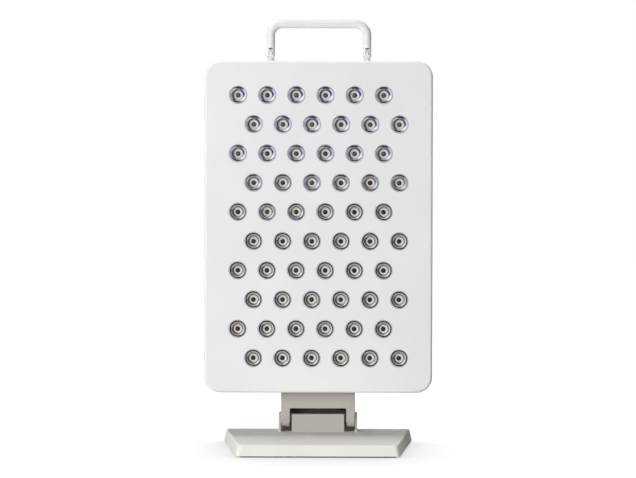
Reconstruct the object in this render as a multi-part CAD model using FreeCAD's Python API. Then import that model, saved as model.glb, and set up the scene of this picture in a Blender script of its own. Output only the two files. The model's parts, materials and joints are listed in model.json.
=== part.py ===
import FreeCAD
import Part

import math
import os

from FreeCAD import Vector

# Lengths are millimetres. Z is up from the desk, X runs to the right, the front faces -Y.
# The origin is the middle of the base, on the desk.

# Base casting: a low trapezoid, wider at the back, its top falling gently to the front
BASE_DEPTH = 135.5
BASE_FRONT_WIDTH = 144.4
BASE_BACK_WIDTH = 179.3
BASE_TOP_Z = 12.0
BASE_FALL = 1.4
BASE_SLOPE = 2.2
BASE_CORNER_R = 4.0
BASE_EDGE_R = 1.2
BASE_WALL = 3.0
PAD_HEIGHT = 1.3
PAD_INSET = 4.0
WEIGHT_THICKNESS = 7.0
WEIGHT_GAP = 0.3
BASE_SCREW_INSET = 20.0
BASE_BOSS_R = 5.0

# Hinge between base and neck
HINGE_INSET = 21.75
KNUCKLE_R = 8.0
KNUCKLE_GAP = 4.0
NECK_WIDTH = 69.1
NECK_LENGTH = 27.0
NECK_EDGE_R = 1.0
SLOT_WIDTH = 52.9
SLOT_RISE = 10.0
NECK_BACK_WALL = 3.0
BLOCK_GAP = 1.95
BLOCK_SWING_GAP = 0.4
BLOCK_EDGE_R = 1.0
BLOCK_SCREW_SPACING = 30.0
BLOCK_SCREW_DEPTH = 6.0
EAR_GAP = 0.3
EAR_THICKNESS = 1.9
EAR_R = 6.0
EAR_FLARE = 3.0
EAR_EDGE_R = 0.8
WEB_RISE = 10.0
WEB_GAP = 2.5
WEB_THICKNESS = 3.0
PIN_R = 3.0
PIN_RECESS = 0.25
WASHER_R = 4.5
WASHER_THICKNESS = 0.9

# Head: a shallow front pan and a deep rear housing
PANEL_WIDTH = 210.0
PANEL_HEIGHT = 305.5
PANEL_DEPTH = 60.0
PANEL_FORWARD = 38.75
PANEL_CORNER_R = 15.0
PANEL_EDGE_R = 2.5
FRONT_SKIN = 1.5
PAN_DEPTH = 12.0
SEAM = 0.4
REAR_SKIN = 1.2
REAR_EDGE_R = 2.0
LIP_GAP = 0.2
LIP_REACH = 6.5
CASE_SCREW_SIDE_INSET = 38.75
CASE_SCREW_END_INSET = 35.0
NECK_BOLT_SPACING = 41.6
NECK_BOLT_OFFSET = 1.2
BACKING_THICKNESS = 3.0
BACKING_MARGIN = 2.0

# Lights: ten rows of six, every second row shifted sideways
LED_ROWS = 10
LED_COLUMNS = 6
LED_PITCH_X = 26.8
LED_PITCH_Z = 26.87
LED_STAGGER = 14.4
LENS_R = 8.1
LENS_HOLE_GAP = 0.2
LENS_RECESS = 0.3
LENS_RIM = 1.3
LENS_BACK_R = 4.6
LENS_CAVITY_R = 2.6
LENS_CAVITY_DEPTH = 2.2
HOLDER_WALL = 0.9
HOLDER_FLOOR = 1.5
HOLDER_GAP = 0.1
BOARD_SETBACK = 10.75
BOARD_THICKNESS = 1.6
BOARD_SIDE_MARGIN = 10.0
BOARD_END_MARGIN = 11.25
CHIP_SIZE = 3.5
CHIP_THICKNESS = 0.8
CHIP_DOME_R = 1.4

# Heat sink and what holds it
SINK_BASE = 4.0
FIN_HEIGHT = 12.0
FIN_THICKNESS = 1.5
FIN_COUNT = 16
FIN_MARGIN = 20.0
STANDOFF_R = 3.5
STANDOFF_INSET = 5.0
STANDOFF_END_INSET = 12.0

# Fans on the rear wall
FAN_SIZE = 80.0
FAN_DEPTH = 15.0
FAN_BORE_R = 38.0
FAN_CORNER_R = 4.0
FAN_FLANGE = 3.5
FAN_WAIST_INSET = 0.9
FAN_HOLE_PITCH = 71.5
FAN_PITCH_Z = 90.0
FAN_TOP_MARGIN = 59.5
FAN_STRUT_WIDTH = 4.0
MOTOR_PLATE = 3.0
MOTOR_PLATE_R = 15.5
BEARING_R = 4.0
BEARING_LENGTH = 7.0
HUB_R = 15.5
HUB_WALL = 1.6
HUB_EDGE_R = 1.0
ROTOR_TIP_GAP = 1.2
ROTOR_END_GAP = 0.8
SHAFT_R = 1.5
BLADE_COUNT = 7
BLADE_CHORD = 13.0
BLADE_THICKNESS = 1.4
BLADE_PITCH_DEG = 38.0
GUARD_WIRE_R = 0.75
GUARD_SPOKE_R = 0.9
GUARD_SPOKE_LIFT = 0.2
GUARD_RINGS = 4
GUARD_RING_STEP = 9.0
GUARD_EYE_R = 4.25
GUARD_EYE_THICKNESS = 1.2

# Rear wall slots beside the fans, and side wall slots
VENT_HEIGHT = 3.0
VENT_ROUNDNESS = 0.98
VENT_LENGTH = 28.0
VENT_PITCH = 9.0
VENT_ROWS = 16
VENT_INSET = 41.0
SIDE_VENT_LENGTH = 24.0
SIDE_VENT_ROWS = 12

# Power inlet
INLET_SHIFT = 8.0
SOCKET_RISE = 33.0
INLET_FLANGE_WIDTH = 32.0
INLET_FLANGE_HEIGHT = 25.6
INLET_FLANGE_THICKNESS = 1.8
INLET_BODY_WIDTH = 27.2
INLET_BODY_HEIGHT = 19.8
INLET_BODY_DEPTH = 21.0
INLET_RECESS_WIDTH = 24.2
INLET_RECESS_HEIGHT = 16.8
INLET_RECESS_DEPTH = 17.0
INLET_CORNER_R = 2.0
INLET_PIN_PITCH = 7.0
INLET_PIN_OFFSET = 2.0
INLET_PIN_WIDTH = 2.0
INLET_PIN_HEIGHT = 4.0
INLET_PIN_RECESS = 5.0
INLET_PIN_TAIL = 5.0

# Rocker switches
SWITCH_SHIFT = 9.0
SWITCH_SPACING = 22.0
SWITCH_FLANGE_WIDTH = 15.0
SWITCH_FLANGE_HEIGHT = 21.0
SWITCH_FLANGE_THICKNESS = 1.6
SWITCH_BODY_WIDTH = 12.8
SWITCH_BODY_HEIGHT = 19.0
SWITCH_BODY_DEPTH = 14.0
SWITCH_WALL = 0.9
SWITCH_FLOOR = 2.0
ROCKER_GAP = 0.3
ROCKER_PIVOT_DEPTH = 2.5
ROCKER_PIVOT_R = 1.0
ROCKER_TILT_DEG = 8.0
ROCKER_SKIRT = 4.0
CUTOUT_GAP = 0.2

# Power supply
SUPPLY_WIDTH = 70.0
SUPPLY_HEIGHT = 88.0
SUPPLY_RISE = 11.0
SUPPLY_WALL = 1.2
SUPPLY_FLANGE = 24.0
SUPPLY_SPACER_R = 3.0
SUPPLY_SPACER_LENGTH = 5.0
SUPPLY_SPACER_INSET = 8.0
SUPPLY_BOARD_GAP = 0.5
TERMINAL_WIDTH = 40.0
TERMINAL_DEPTH = 12.0
TERMINAL_HEIGHT = 12.0
TERMINAL_INSET = 16.0
TRANSFORMER_WIDTH = 26.0
TRANSFORMER_HEIGHT = 24.0
TRANSFORMER_DEPTH = 17.0
CAPACITOR_R = 6.0
CAPACITOR_LENGTH = 16.0
COMPONENT_OFFSET_X = 16.0

# Carry handle
ROD_R = 4.0
HANDLE_INSET = 60.0
HANDLE_RISE = 37.0
HANDLE_BEND_R = 11.0
HANDLE_PIVOT_RISE = 9.8
FORK_SLOT_WIDTH = 3.65
FORK_SLOT_DEPTH = 4.1
TANG_THICKNESS = 2.4
TANG_R = 3.4
HANDLE_PIN_R = 1.0
HANDLE_PIN_INSET = 0.4
POST_R = 4.2
POST_NECK_R = 2.7
POST_FOOT = 1.2
POST_GAP = 0.3
POST_STUD_R = 2.5
POST_NUT_R = 4.6
POST_NUT_THICKNESS = 4.0

# Fasteners and fits
SCREW_R = 1.5
SCREW_HEAD_R = 2.8
SCREW_HEAD = 1.9
BOLT_R = 2.0
BOLT_HEAD_R = 3.4
BOLT_HEAD = 2.4
NUT_THICKNESS = 3.2
NUT_R = 3.9
RECESS_WIDTH = 0.9
RECESS_SHARE = 0.6
THREAD_GAP = 0.03
SCREW_GAP = 0.2
RUN_GAP = 0.05
SEAT_GAP = 0.02
STUD_END = 1.0
CASE_SCREW_LENGTH = 6.0
WIRE_R = 1.4
WIRE_BEND_R = 5.0
WIRE_DEPTH = 11.0

# Below this length two edges or planes count as the same
TOUCH = 1e-4

# Places that follow from the sizes
X_AXIS = Vector(1, 0, 0)
Y_AXIS = Vector(0, 1, 0)
Z_AXIS = Vector(0, 0, 1)
BASE_TAPER = math.atan((BASE_BACK_WIDTH - BASE_FRONT_WIDTH) / 2 / BASE_DEPTH)
BASE_PITCH = math.atan(BASE_FALL / BASE_DEPTH)
BASE_LOW_Z = BASE_TOP_Z - BASE_FALL
BASE_CEILING_Z = BASE_TOP_Z - BASE_WALL
CAVITY_INSET = BASE_SLOPE + BASE_WALL
WEIGHT_TOP_Z = PAD_HEIGHT + WEIGHT_THICKNESS
HINGE_Y = BASE_DEPTH / 2 - HINGE_INSET
HINGE_Z = BASE_TOP_Z + KNUCKLE_GAP + KNUCKLE_R
NOSE_R = KNUCKLE_R - NECK_BACK_WALL - BLOCK_SWING_GAP
BLOCK_WIDTH = SLOT_WIDTH - 2 * BLOCK_GAP
BLOCK_FRONT_Y = HINGE_Y - KNUCKLE_R
BLOCK_MID_Y = HINGE_Y - (KNUCKLE_R - NOSE_R) / 2
EAR_INNER_X = NECK_WIDTH / 2 + EAR_GAP
WEB_FRONT_Y = HINGE_Y + KNUCKLE_R + WEB_GAP
PANEL_FRONT_Y = HINGE_Y - PANEL_FORWARD
PANEL_BACK_Y = PANEL_FRONT_Y + PANEL_DEPTH
PANEL_MID_Y = PANEL_FRONT_Y + PANEL_DEPTH / 2
PANEL_BOTTOM_Z = HINGE_Z + NECK_LENGTH
PANEL_TOP_Z = PANEL_BOTTOM_Z + PANEL_HEIGHT
PANEL_MID_Z = PANEL_BOTTOM_Z + PANEL_HEIGHT / 2
REAR_INNER_Y = PANEL_BACK_Y - REAR_SKIN
SEAM_Y = PANEL_FRONT_Y + PAN_DEPTH
HOUSING_FRONT_Y = SEAM_Y + SEAM
CASE_SCREW_Y = SEAM_Y - LIP_REACH / 2
CASE_SCREW_SIDE_PITCH = PANEL_HEIGHT / 2 - CASE_SCREW_SIDE_INSET
CASE_SCREW_END_PITCH = PANEL_WIDTH - 2 * CASE_SCREW_END_INSET
BOARD_WIDTH = PANEL_WIDTH - 2 * BOARD_SIDE_MARGIN
BOARD_HEIGHT = PANEL_HEIGHT - 2 * BOARD_END_MARGIN
FIN_SPAN = BOARD_WIDTH - 2 * FIN_MARGIN
VENT_OFFSET_X = PANEL_WIDTH / 2 - VENT_INSET
BOARD_Y = PANEL_FRONT_Y + BOARD_SETBACK
SINK_Y = BOARD_Y + BOARD_THICKNESS
SINK_BACK_Y = SINK_Y + SINK_BASE
FIN_END_Y = SINK_BACK_Y + FIN_HEIGHT
FAN_FRONT_Y = REAR_INNER_Y - FAN_DEPTH
FAN_TOP_CENTRE_Z = PANEL_TOP_Z - FAN_TOP_MARGIN
FAN_CENTRES_Z = (FAN_TOP_CENTRE_Z, FAN_TOP_CENTRE_Z - FAN_PITCH_Z)
FAN_MID_Z = sum(FAN_CENTRES_Z) / len(FAN_CENTRES_Z)
SOCKET_Z = PANEL_BOTTOM_Z + SOCKET_RISE
SOCKET_BAY_X = (SUPPLY_WIDTH + PANEL_WIDTH) / 4
INLET_X = SOCKET_BAY_X - INLET_SHIFT
SWITCH_X = SWITCH_SHIFT - SOCKET_BAY_X
SUPPLY_BOTTOM_Z = PANEL_BOTTOM_Z + SUPPLY_RISE
SUPPLY_TOP_Z = SUPPLY_BOTTOM_Z + SUPPLY_HEIGHT
TRAY_FACE_Y = REAR_INNER_Y - SUPPLY_WALL
SUPPLY_BOARD_BACK_Y = TRAY_FACE_Y - SUPPLY_SPACER_LENGTH
SUPPLY_BOARD_Y = SUPPLY_BOARD_BACK_Y - BOARD_THICKNESS
TERMINAL_FRONT_Y = SUPPLY_BOARD_Y - TERMINAL_DEPTH
SUPPLY_IN_Z = SUPPLY_BOTTOM_Z + TERMINAL_INSET
SUPPLY_OUT_Z = SUPPLY_TOP_Z - TERMINAL_INSET
HANDLE_SPAN = PANEL_WIDTH - 2 * HANDLE_INSET
PIVOT_Z = PANEL_TOP_Z + HANDLE_PIVOT_RISE
BAR_Z = PANEL_TOP_Z + HANDLE_RISE
POST_TOP_Z = PIVOT_Z - ROD_R - POST_GAP
HANDLE_Y = PANEL_MID_Y
INLET_FACE_Y = PANEL_BACK_Y + INLET_FLANGE_THICKNESS
INLET_BACK_Y = INLET_FACE_Y - INLET_BODY_DEPTH
SWITCH_FACE_Y = PANEL_BACK_Y + SWITCH_FLANGE_THICKNESS
SWITCH_BACK_Y = SWITCH_FACE_Y - SWITCH_BODY_DEPTH
ROCKER_PIVOT_Y = SWITCH_FACE_Y - ROCKER_PIVOT_DEPTH


def box(x0, x1, y0, y1, z0, z1):
    """Block between two opposite corners."""
    return Part.makeBox(x1 - x0, y1 - y0, z1 - z0, Vector(x0, y0, z0))


def rod(radius, start, end):
    """Round bar between two points."""
    run = end - start
    return Part.makeCylinder(radius, run.Length, start, run)


def edges_along(shape, axis):
    """Straight edges that run along an axis."""
    found = []
    for edge in shape.Edges:
        if isinstance(edge.Curve, Part.Line):
            if edge.tangentAt(edge.FirstParameter).cross(axis).Length < TOUCH:
                found.append(edge)
    return found


def edges_in_plane(shape, axis, level):
    """Edges that lie wholly in the plane across an axis at a level."""
    found = []
    for edge in shape.Edges:
        box_low = Vector(edge.BoundBox.XMin, edge.BoundBox.YMin, edge.BoundBox.ZMin)
        box_high = Vector(edge.BoundBox.XMax, edge.BoundBox.YMax, edge.BoundBox.ZMax)
        if abs(box_low.dot(axis) - level) < TOUCH and abs(box_high.dot(axis) - level) < TOUCH:
            found.append(edge)
    return found


def rounded_box(x0, x1, y0, y1, z0, z1, axis, radius):
    """Block with the four edges along one axis rounded."""
    block = box(x0, x1, y0, y1, z0, z1)
    return block.makeFillet(radius, edges_along(block, axis))


def drilled(radius, length, points, direction):
    """Round cutters of one size that start at several points."""
    return [Part.makeCylinder(radius, length, point, direction) for point in points]


def socket_plate(centre, width, height, y0, y1, radius):
    """Upright rounded rectangle about a centre, between two depths."""
    x = width / 2
    z = height / 2
    return rounded_box(centre.x - x, centre.x + x, y0, y1, centre.z - z, centre.z + z, Y_AXIS, radius)


def turned(points):
    """Solid of revolution about Z from (radius, height) corner points."""
    corners = [Vector(radius, 0, height) for radius, height in points]
    outline = Part.makePolygon(corners + corners[:1])
    return Part.Face(outline).revolve(Vector(), Z_AXIS, 360)


def placed(shape, point, direction):
    """Copy with its Z axis turned to a direction and its origin moved to a point."""
    copy = shape.copy()
    turn = FreeCAD.Rotation(Z_AXIS, direction)
    copy.Placement = FreeCAD.Placement(point, turn)
    return copy


def copies(shape, points, direction=Z_AXIS):
    """The same piece at several points, as separate solids."""
    return [placed(shape, point, direction) for point in points]


def cross_recess(top, depth, reach):
    """Cross-shaped driver recess cut from a screw head's top."""
    half = RECESS_WIDTH / 2
    along = box(-reach, reach, -half, half, top - depth, top + depth)
    across = box(-half, half, -reach, reach, top - depth, top + depth)
    return along.fuse(across)


def pan_screw(radius, head_r, head, length):
    """Round-headed screw: the head stands on z = 0 and the shank runs down."""
    cap = Part.makeCylinder(head_r, head)
    cap = cap.makeFillet(head / 2, edges_in_plane(cap, Z_AXIS, head))
    shank = Part.makeCylinder(radius, length, Vector(0, 0, -length))
    body = cap.fuse(shank)
    return body.cut(cross_recess(head, head * RECESS_SHARE, head_r * RECESS_SHARE))


def flat_screw(radius, head_r, length):
    """Countersunk screw: the head's flat top is at z = 0."""
    head = head_r - radius
    body = turned([(0, 0), (head_r, 0), (radius, -head), (radius, -length), (0, -length)])
    return body.cut(cross_recess(0, head * RECESS_SHARE, head_r * RECESS_SHARE))


def countersink(radius, head_r, length, gap):
    """Cutter for a countersunk screw, with room all round."""
    head = head_r - radius
    wide = head_r + gap
    slim = radius + gap
    return turned([(0, gap), (wide, gap), (wide, 0), (slim, -head), (slim, -length), (0, -length)])


def hex_nut(corner_r, bore_r, thickness):
    """Six-sided nut that stands on z = 0."""
    corners = []
    for step in range(7):
        angle = math.radians(60 * step)
        corners.append(Vector(corner_r * math.cos(angle), corner_r * math.sin(angle), 0))
    body = Part.Face(Part.makePolygon(corners)).extrude(Vector(0, 0, thickness))
    return body.cut(Part.makeCylinder(bore_r, thickness))


def trapezoid_corners(inset, z):
    """Corners of the base outline, moved inwards by an inset."""
    corners = []
    for side, y in ((-1, -1), (1, -1), (1, 1), (-1, 1)):
        depth = y * (BASE_DEPTH / 2 - inset)
        share = (depth + BASE_DEPTH / 2) / BASE_DEPTH
        half = BASE_FRONT_WIDTH / 2 + share * (BASE_BACK_WIDTH - BASE_FRONT_WIDTH) / 2
        corners.append(Vector(side * (half - inset / math.cos(BASE_TAPER)), depth, z))
    return corners


def trapezoid_wire(inset, z):
    """Closed base outline at a height."""
    corners = trapezoid_corners(inset, z)
    return Part.makePolygon(corners + corners[:1])


def trapezoid_plate(inset, z0, z1):
    """Upright-sided plate with the base outline and rounded corners."""
    plate = Part.Face(trapezoid_wire(inset, z0)).extrude(Vector(0, 0, z1 - z0))
    return plate.makeFillet(BASE_CORNER_R, edges_along(plate, Z_AXIS))


def base_screw_points(z):
    """Where the weight plate's corner screws stand."""
    return trapezoid_corners(BASE_SCREW_INSET, z)


def block_screw_points(z):
    """Where the centre block's two screws stand."""
    half = BLOCK_SCREW_SPACING / 2
    return [Vector(-half, BLOCK_MID_Y, z), Vector(half, BLOCK_MID_Y, z)]


def hinge_bore(radius, half_length):
    """Cutter or pin along the hinge axis."""
    return rod(radius, Vector(-half_length, HINGE_Y, HINGE_Z), Vector(half_length, HINGE_Y, HINGE_Z))


def ear(side):
    """Thin upright ear outside one neck arm: round top, flared foot."""
    inner = side * EAR_INNER_X
    foot_z = BASE_CEILING_Z
    foot = EAR_R + EAR_FLARE
    disc = Part.makeCylinder(EAR_R, EAR_THICKNESS, Vector(inner, HINGE_Y, HINGE_Z), Vector(side, 0, 0))
    corners = [
        Vector(inner, HINGE_Y - EAR_R, HINGE_Z),
        Vector(inner, HINGE_Y - foot, foot_z),
        Vector(inner, HINGE_Y + foot, foot_z),
        Vector(inner, HINGE_Y + EAR_R, HINGE_Z),
    ]
    web = Part.Face(Part.makePolygon(corners + corners[:1])).extrude(Vector(side * EAR_THICKNESS, 0, 0))
    whole = disc.fuse(web).removeSplitter()
    outer = inner + side * EAR_THICKNESS
    rims = [edge for edge in edges_in_plane(whole, X_AXIS, outer) if edge.BoundBox.ZMax > foot_z + TOUCH]
    return whole.makeFillet(EAR_EDGE_R, rims)


def base_web():
    """Upright wall behind the knuckles that stiffens the casting between its ears."""
    half = EAR_INNER_X + EAR_THICKNESS
    crest = BASE_TOP_Z + WEB_RISE
    wall = box(-half, half, WEB_FRONT_Y, WEB_FRONT_Y + WEB_THICKNESS, BASE_CEILING_Z, crest)
    return wall.makeFillet(EAR_EDGE_R, edges_in_plane(wall, Z_AXIS, crest))


def base_body():
    """Solid outer shape of the base: leaning sides under a top that tilts about the block's foot."""
    lean = BASE_SLOPE / (BASE_TOP_Z - PAD_HEIGHT)
    crest = BASE_TOP_Z + BASE_FALL
    upper = trapezoid_wire(lean * (crest - PAD_HEIGHT), crest)
    body = Part.makeLoft([trapezoid_wire(0, PAD_HEIGHT), upper], True, True)
    slanted = [edge for edge in body.Edges if edge.BoundBox.ZLength > BASE_TOP_Z / 2]
    body = body.makeFillet(BASE_CORNER_R, slanted)
    foot = Vector(0, BLOCK_FRONT_Y, BASE_TOP_Z)
    above = box(-BASE_BACK_WIDTH, BASE_BACK_WIDTH, -BASE_DEPTH, BASE_DEPTH, BASE_TOP_Z, 2 * BASE_TOP_Z)
    above.rotate(foot, X_AXIS, math.degrees(BASE_PITCH))
    body = body.cut(above)
    normal = Vector(0, -math.sin(BASE_PITCH), math.cos(BASE_PITCH))
    rim = []
    for edge in body.Edges:
        if max(abs((vertex.Point - foot).dot(normal)) for vertex in edge.Vertexes) < TOUCH:
            rim.append(edge)
    return body.makeFillet(BASE_EDGE_R, rim)


def base_cover():
    """Hollow base casting with bosses underneath, hinge ears and a web on top."""
    skin = base_body().cut(trapezoid_plate(CAVITY_INSET, PAD_HEIGHT, BASE_CEILING_Z))
    slot = SLOT_WIDTH / 2
    seat = box(-slot, slot, BLOCK_FRONT_Y, HINGE_Y + KNUCKLE_R, BASE_TOP_Z, BASE_TOP_Z + BASE_FALL)
    skin = skin.cut(seat)
    rise = BASE_CEILING_Z - WEIGHT_TOP_Z
    bosses = drilled(BASE_BOSS_R, rise + BASE_WALL / 2, base_screw_points(WEIGHT_TOP_Z), Z_AXIS)
    half = BLOCK_SCREW_SPACING / 2 + BASE_BOSS_R
    front = BLOCK_MID_Y - BASE_BOSS_R
    back = BLOCK_MID_Y + BASE_BOSS_R
    bosses.append(box(-half, half, front, back, WEIGHT_TOP_Z, BASE_CEILING_Z + BASE_WALL / 2))
    cover = skin.fuse(bosses + [ear(-1), ear(1), base_web()])
    depth = BASE_LOW_Z - WEIGHT_TOP_Z - STUD_END / 2
    holes = drilled(BOLT_R + THREAD_GAP, depth, base_screw_points(WEIGHT_TOP_Z), Z_AXIS)
    holes += drilled(BOLT_R + SCREW_GAP, BASE_TOP_Z, block_screw_points(0), Z_AXIS)
    holes.append(hinge_bore(PIN_R + SEAT_GAP, EAR_INNER_X + 2 * EAR_THICKNESS))
    return cover.cut(holes).removeSplitter()


def base_weight():
    """Steel plate inside the base, countersunk underneath."""
    plate = trapezoid_plate(CAVITY_INSET + WEIGHT_GAP, PAD_HEIGHT, WEIGHT_TOP_Z)
    sink = countersink(BOLT_R, BOLT_HEAD_R, 2 * WEIGHT_THICKNESS, SCREW_GAP)
    points = base_screw_points(PAD_HEIGHT) + block_screw_points(PAD_HEIGHT)
    return plate.cut(copies(sink, points, -Z_AXIS))


def base_pad():
    """Rubber sheet under the base."""
    return trapezoid_plate(PAD_INSET, 0, PAD_HEIGHT)


def base_screws():
    """Screws that hold the weight plate to the cover's bosses."""
    length = BASE_LOW_Z - PAD_HEIGHT - STUD_END
    return copies(flat_screw(BOLT_R, BOLT_HEAD_R, length), base_screw_points(PAD_HEIGHT), -Z_AXIS)


def block_screws():
    """Screws that hold the centre block from below."""
    length = BASE_TOP_Z - PAD_HEIGHT + BLOCK_SCREW_DEPTH
    return copies(flat_screw(BOLT_R, BOLT_HEAD_R, length), block_screw_points(PAD_HEIGHT), -Z_AXIS)


def hinge_block():
    """Centre block of the hinge: flat front and top, nose rounded about the pin."""
    half = BLOCK_WIDTH / 2
    front = box(-half, half, BLOCK_FRONT_Y, HINGE_Y, BASE_TOP_Z, HINGE_Z + NOSE_R)
    rear = box(-half, half, HINGE_Y, HINGE_Y + NOSE_R, BASE_TOP_Z, HINGE_Z)
    block = front.fuse([rear, hinge_bore(NOSE_R, half)]).removeSplitter()
    crests = edges_in_plane(block, Y_AXIS, BLOCK_FRONT_Y)
    crests = [edge for edge in crests if edge.BoundBox.ZMin > HINGE_Z]
    block = block.makeFillet(BLOCK_EDGE_R, crests)
    holes = [hinge_bore(PIN_R + SEAT_GAP, half + KNUCKLE_GAP)]
    depth = BLOCK_SCREW_DEPTH + STUD_END / 2
    holes += drilled(BOLT_R + THREAD_GAP, depth, block_screw_points(BASE_TOP_Z), Z_AXIS)
    return block.cut(holes)


def hinge_pin():
    """Steel pin through ears, arms and block."""
    return hinge_bore(PIN_R, EAR_INNER_X + EAR_THICKNESS - PIN_RECESS)


def friction_washers():
    """Two washers in the gap on each side of the block."""
    washers = []
    start = BLOCK_WIDTH / 2 + RUN_GAP
    for side in (-1, 1):
        for place in range(2):
            x = side * (start + place * WASHER_THICKNESS)
            centre = Vector(x, HINGE_Y, HINGE_Z)
            disc = Part.makeCylinder(WASHER_R, WASHER_THICKNESS, centre, Vector(side, 0, 0))
            washers.append(disc.cut(hinge_bore(PIN_R + SEAT_GAP, NECK_WIDTH)))
    return washers


def neck():
    """Casting under the head: two knuckle arms, a web above the slot and a wall behind it."""
    half = NECK_WIDTH / 2
    body = box(-half, half, HINGE_Y - KNUCKLE_R, HINGE_Y + KNUCKLE_R, HINGE_Z, PANEL_BOTTOM_Z)
    body = body.fuse(hinge_bore(KNUCKLE_R, half)).removeSplitter()
    body = body.makeFillet(NECK_EDGE_R, edges_along(body, Z_AXIS))
    slot = SLOT_WIDTH / 2
    low = HINGE_Z - 2 * KNUCKLE_R
    opening = rounded_box(-slot, slot, HINGE_Y - 2 * KNUCKLE_R, HINGE_Y + KNUCKLE_R - NECK_BACK_WALL,
                          low, HINGE_Z + SLOT_RISE, Y_AXIS, NECK_EDGE_R)
    under = box(-slot, slot, HINGE_Y, HINGE_Y + 2 * KNUCKLE_R, low, HINGE_Z)
    holes = [opening, under, hinge_bore(PIN_R + RUN_GAP, half + KNUCKLE_GAP)]
    holes += drilled(BOLT_R + SCREW_GAP, NECK_LENGTH, neck_bolt_points(), Z_AXIS)
    return body.cut(holes)


def neck_bolt_points():
    """Where the neck bolts' heads seat, in the roof of the slot."""
    half = NECK_BOLT_SPACING / 2
    y = HINGE_Y + NECK_BOLT_OFFSET
    return [Vector(side * half, y, HINGE_Z + SLOT_RISE) for side in (-1, 1)]


def neck_bolts():
    """Bolts from the slot's roof up through neck, housing and backing plate."""
    length = NECK_LENGTH - SLOT_RISE + REAR_SKIN + BACKING_THICKNESS + STUD_END
    bolt = pan_screw(BOLT_R, BOLT_HEAD_R, BOLT_HEAD, length)
    return copies(bolt, neck_bolt_points(), -Z_AXIS)


def neck_backing_plate():
    """Threaded plate inside the housing that the neck bolts draw down."""
    half = NECK_WIDTH / 2 - BACKING_MARGIN
    depth = KNUCKLE_R - BACKING_MARGIN
    low = PANEL_BOTTOM_Z + REAR_SKIN
    plate = box(-half, half, HINGE_Y - depth, HINGE_Y + depth, low, low + BACKING_THICKNESS)
    return plate.cut(drilled(BOLT_R + THREAD_GAP, NECK_LENGTH, neck_bolt_points(), Z_AXIS))


def head_block(inset, y0, y1):
    """Block with the head's rounded outline, moved inwards by an inset."""
    half = PANEL_WIDTH / 2 - inset
    return rounded_box(-half, half, y0, y1, PANEL_BOTTOM_Z + inset, PANEL_TOP_Z - inset,
                       Y_AXIS, PANEL_CORNER_R - inset)


def led_points(y):
    """Centres of the lights, from the top row down; every second row is shifted."""
    points = []
    left = -((LED_COLUMNS - 1) * LED_PITCH_X + LED_STAGGER) / 2
    top = PANEL_MID_Z + (LED_ROWS - 1) * LED_PITCH_Z / 2
    for row in range(LED_ROWS):
        shift = LED_STAGGER if row % 2 else 0
        for column in range(LED_COLUMNS):
            points.append(Vector(left + shift + column * LED_PITCH_X, y, top - row * LED_PITCH_Z))
    return points


def case_screw_seats():
    """Seat and outward direction of every screw round the seam."""
    seats = []
    half = PANEL_WIDTH / 2
    for side in (-1, 1):
        for row in (-1, 0, 1):
            point = Vector(side * half, CASE_SCREW_Y, PANEL_MID_Z + row * CASE_SCREW_SIDE_PITCH)
            seats.append((point, Vector(side, 0, 0)))
        for level, up in ((PANEL_BOTTOM_Z, -1), (PANEL_TOP_Z, 1)):
            point = Vector(side * CASE_SCREW_END_PITCH / 2, CASE_SCREW_Y, level)
            seats.append((point, Vector(0, 0, up)))
    return seats


def case_screw_cutters(gap):
    """Countersunk holes for the case screws."""
    cutter = countersink(SCREW_R, SCREW_HEAD_R, 2 * CASE_SCREW_LENGTH, gap)
    return [placed(cutter, point, direction) for point, direction in case_screw_seats()]


def case_screws():
    """Countersunk screws that join front panel and rear housing."""
    screw = flat_screw(SCREW_R, SCREW_HEAD_R, CASE_SCREW_LENGTH)
    return [placed(screw, point, direction) for point, direction in case_screw_seats()]


def front_panel():
    """Shallow sheet-metal pan with a round hole for each lens."""
    pan = head_block(0, PANEL_FRONT_Y, SEAM_Y)
    pan = pan.makeFillet(PANEL_EDGE_R, edges_in_plane(pan, Y_AXIS, PANEL_FRONT_Y))
    pan = pan.cut(head_block(FRONT_SKIN, PANEL_FRONT_Y + FRONT_SKIN, SEAM_Y))
    hole_r = LENS_R + LENS_HOLE_GAP
    holes = drilled(hole_r, 3 * FRONT_SKIN, led_points(PANEL_FRONT_Y - FRONT_SKIN), Y_AXIS)
    return pan.cut(holes + case_screw_cutters(SCREW_GAP / 2))


def fan_hole_points(z, y):
    """The four screw places of a fan."""
    half = FAN_HOLE_PITCH / 2
    return [Vector(side * half, y, z + up * half) for side in (-1, 1) for up in (-1, 1)]


def standoff_points(y):
    """The six posts that carry the heat sink, in two columns."""
    x = BOARD_WIDTH / 2 - STANDOFF_INSET
    rise = BOARD_HEIGHT / 2 - STANDOFF_END_INSET
    return [Vector(side * x, y, PANEL_MID_Z + row * rise) for side in (-1, 1) for row in (-1, 0, 1)]


def supply_screw_points(y):
    """The four spacers of the power supply."""
    x = SUPPLY_WIDTH / 2 - SUPPLY_SPACER_INSET
    low = SUPPLY_BOTTOM_Z + SUPPLY_SPACER_INSET
    high = SUPPLY_TOP_Z - SUPPLY_SPACER_INSET
    return [Vector(side * x, y, z) for side in (-1, 1) for z in (low, high)]


def inlet_centre():
    """Middle of the power inlet, on the rear wall."""
    return Vector(INLET_X, PANEL_BACK_Y, SOCKET_Z)


def switch_centres():
    """Middle of each switch, on the rear wall."""
    half = SWITCH_SPACING / 2
    return [Vector(SWITCH_X + side * half, PANEL_BACK_Y, SOCKET_Z) for side in (-1, 1)]


def wall_cutout(centre, width, height, radius):
    """Rounded rectangular hole through the rear wall, with room for what snaps into it."""
    front = REAR_INNER_Y - REAR_SKIN
    back = PANEL_BACK_Y + REAR_SKIN
    return socket_plate(centre, width + CUTOUT_GAP, height + CUTOUT_GAP, front, back, radius)


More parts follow.
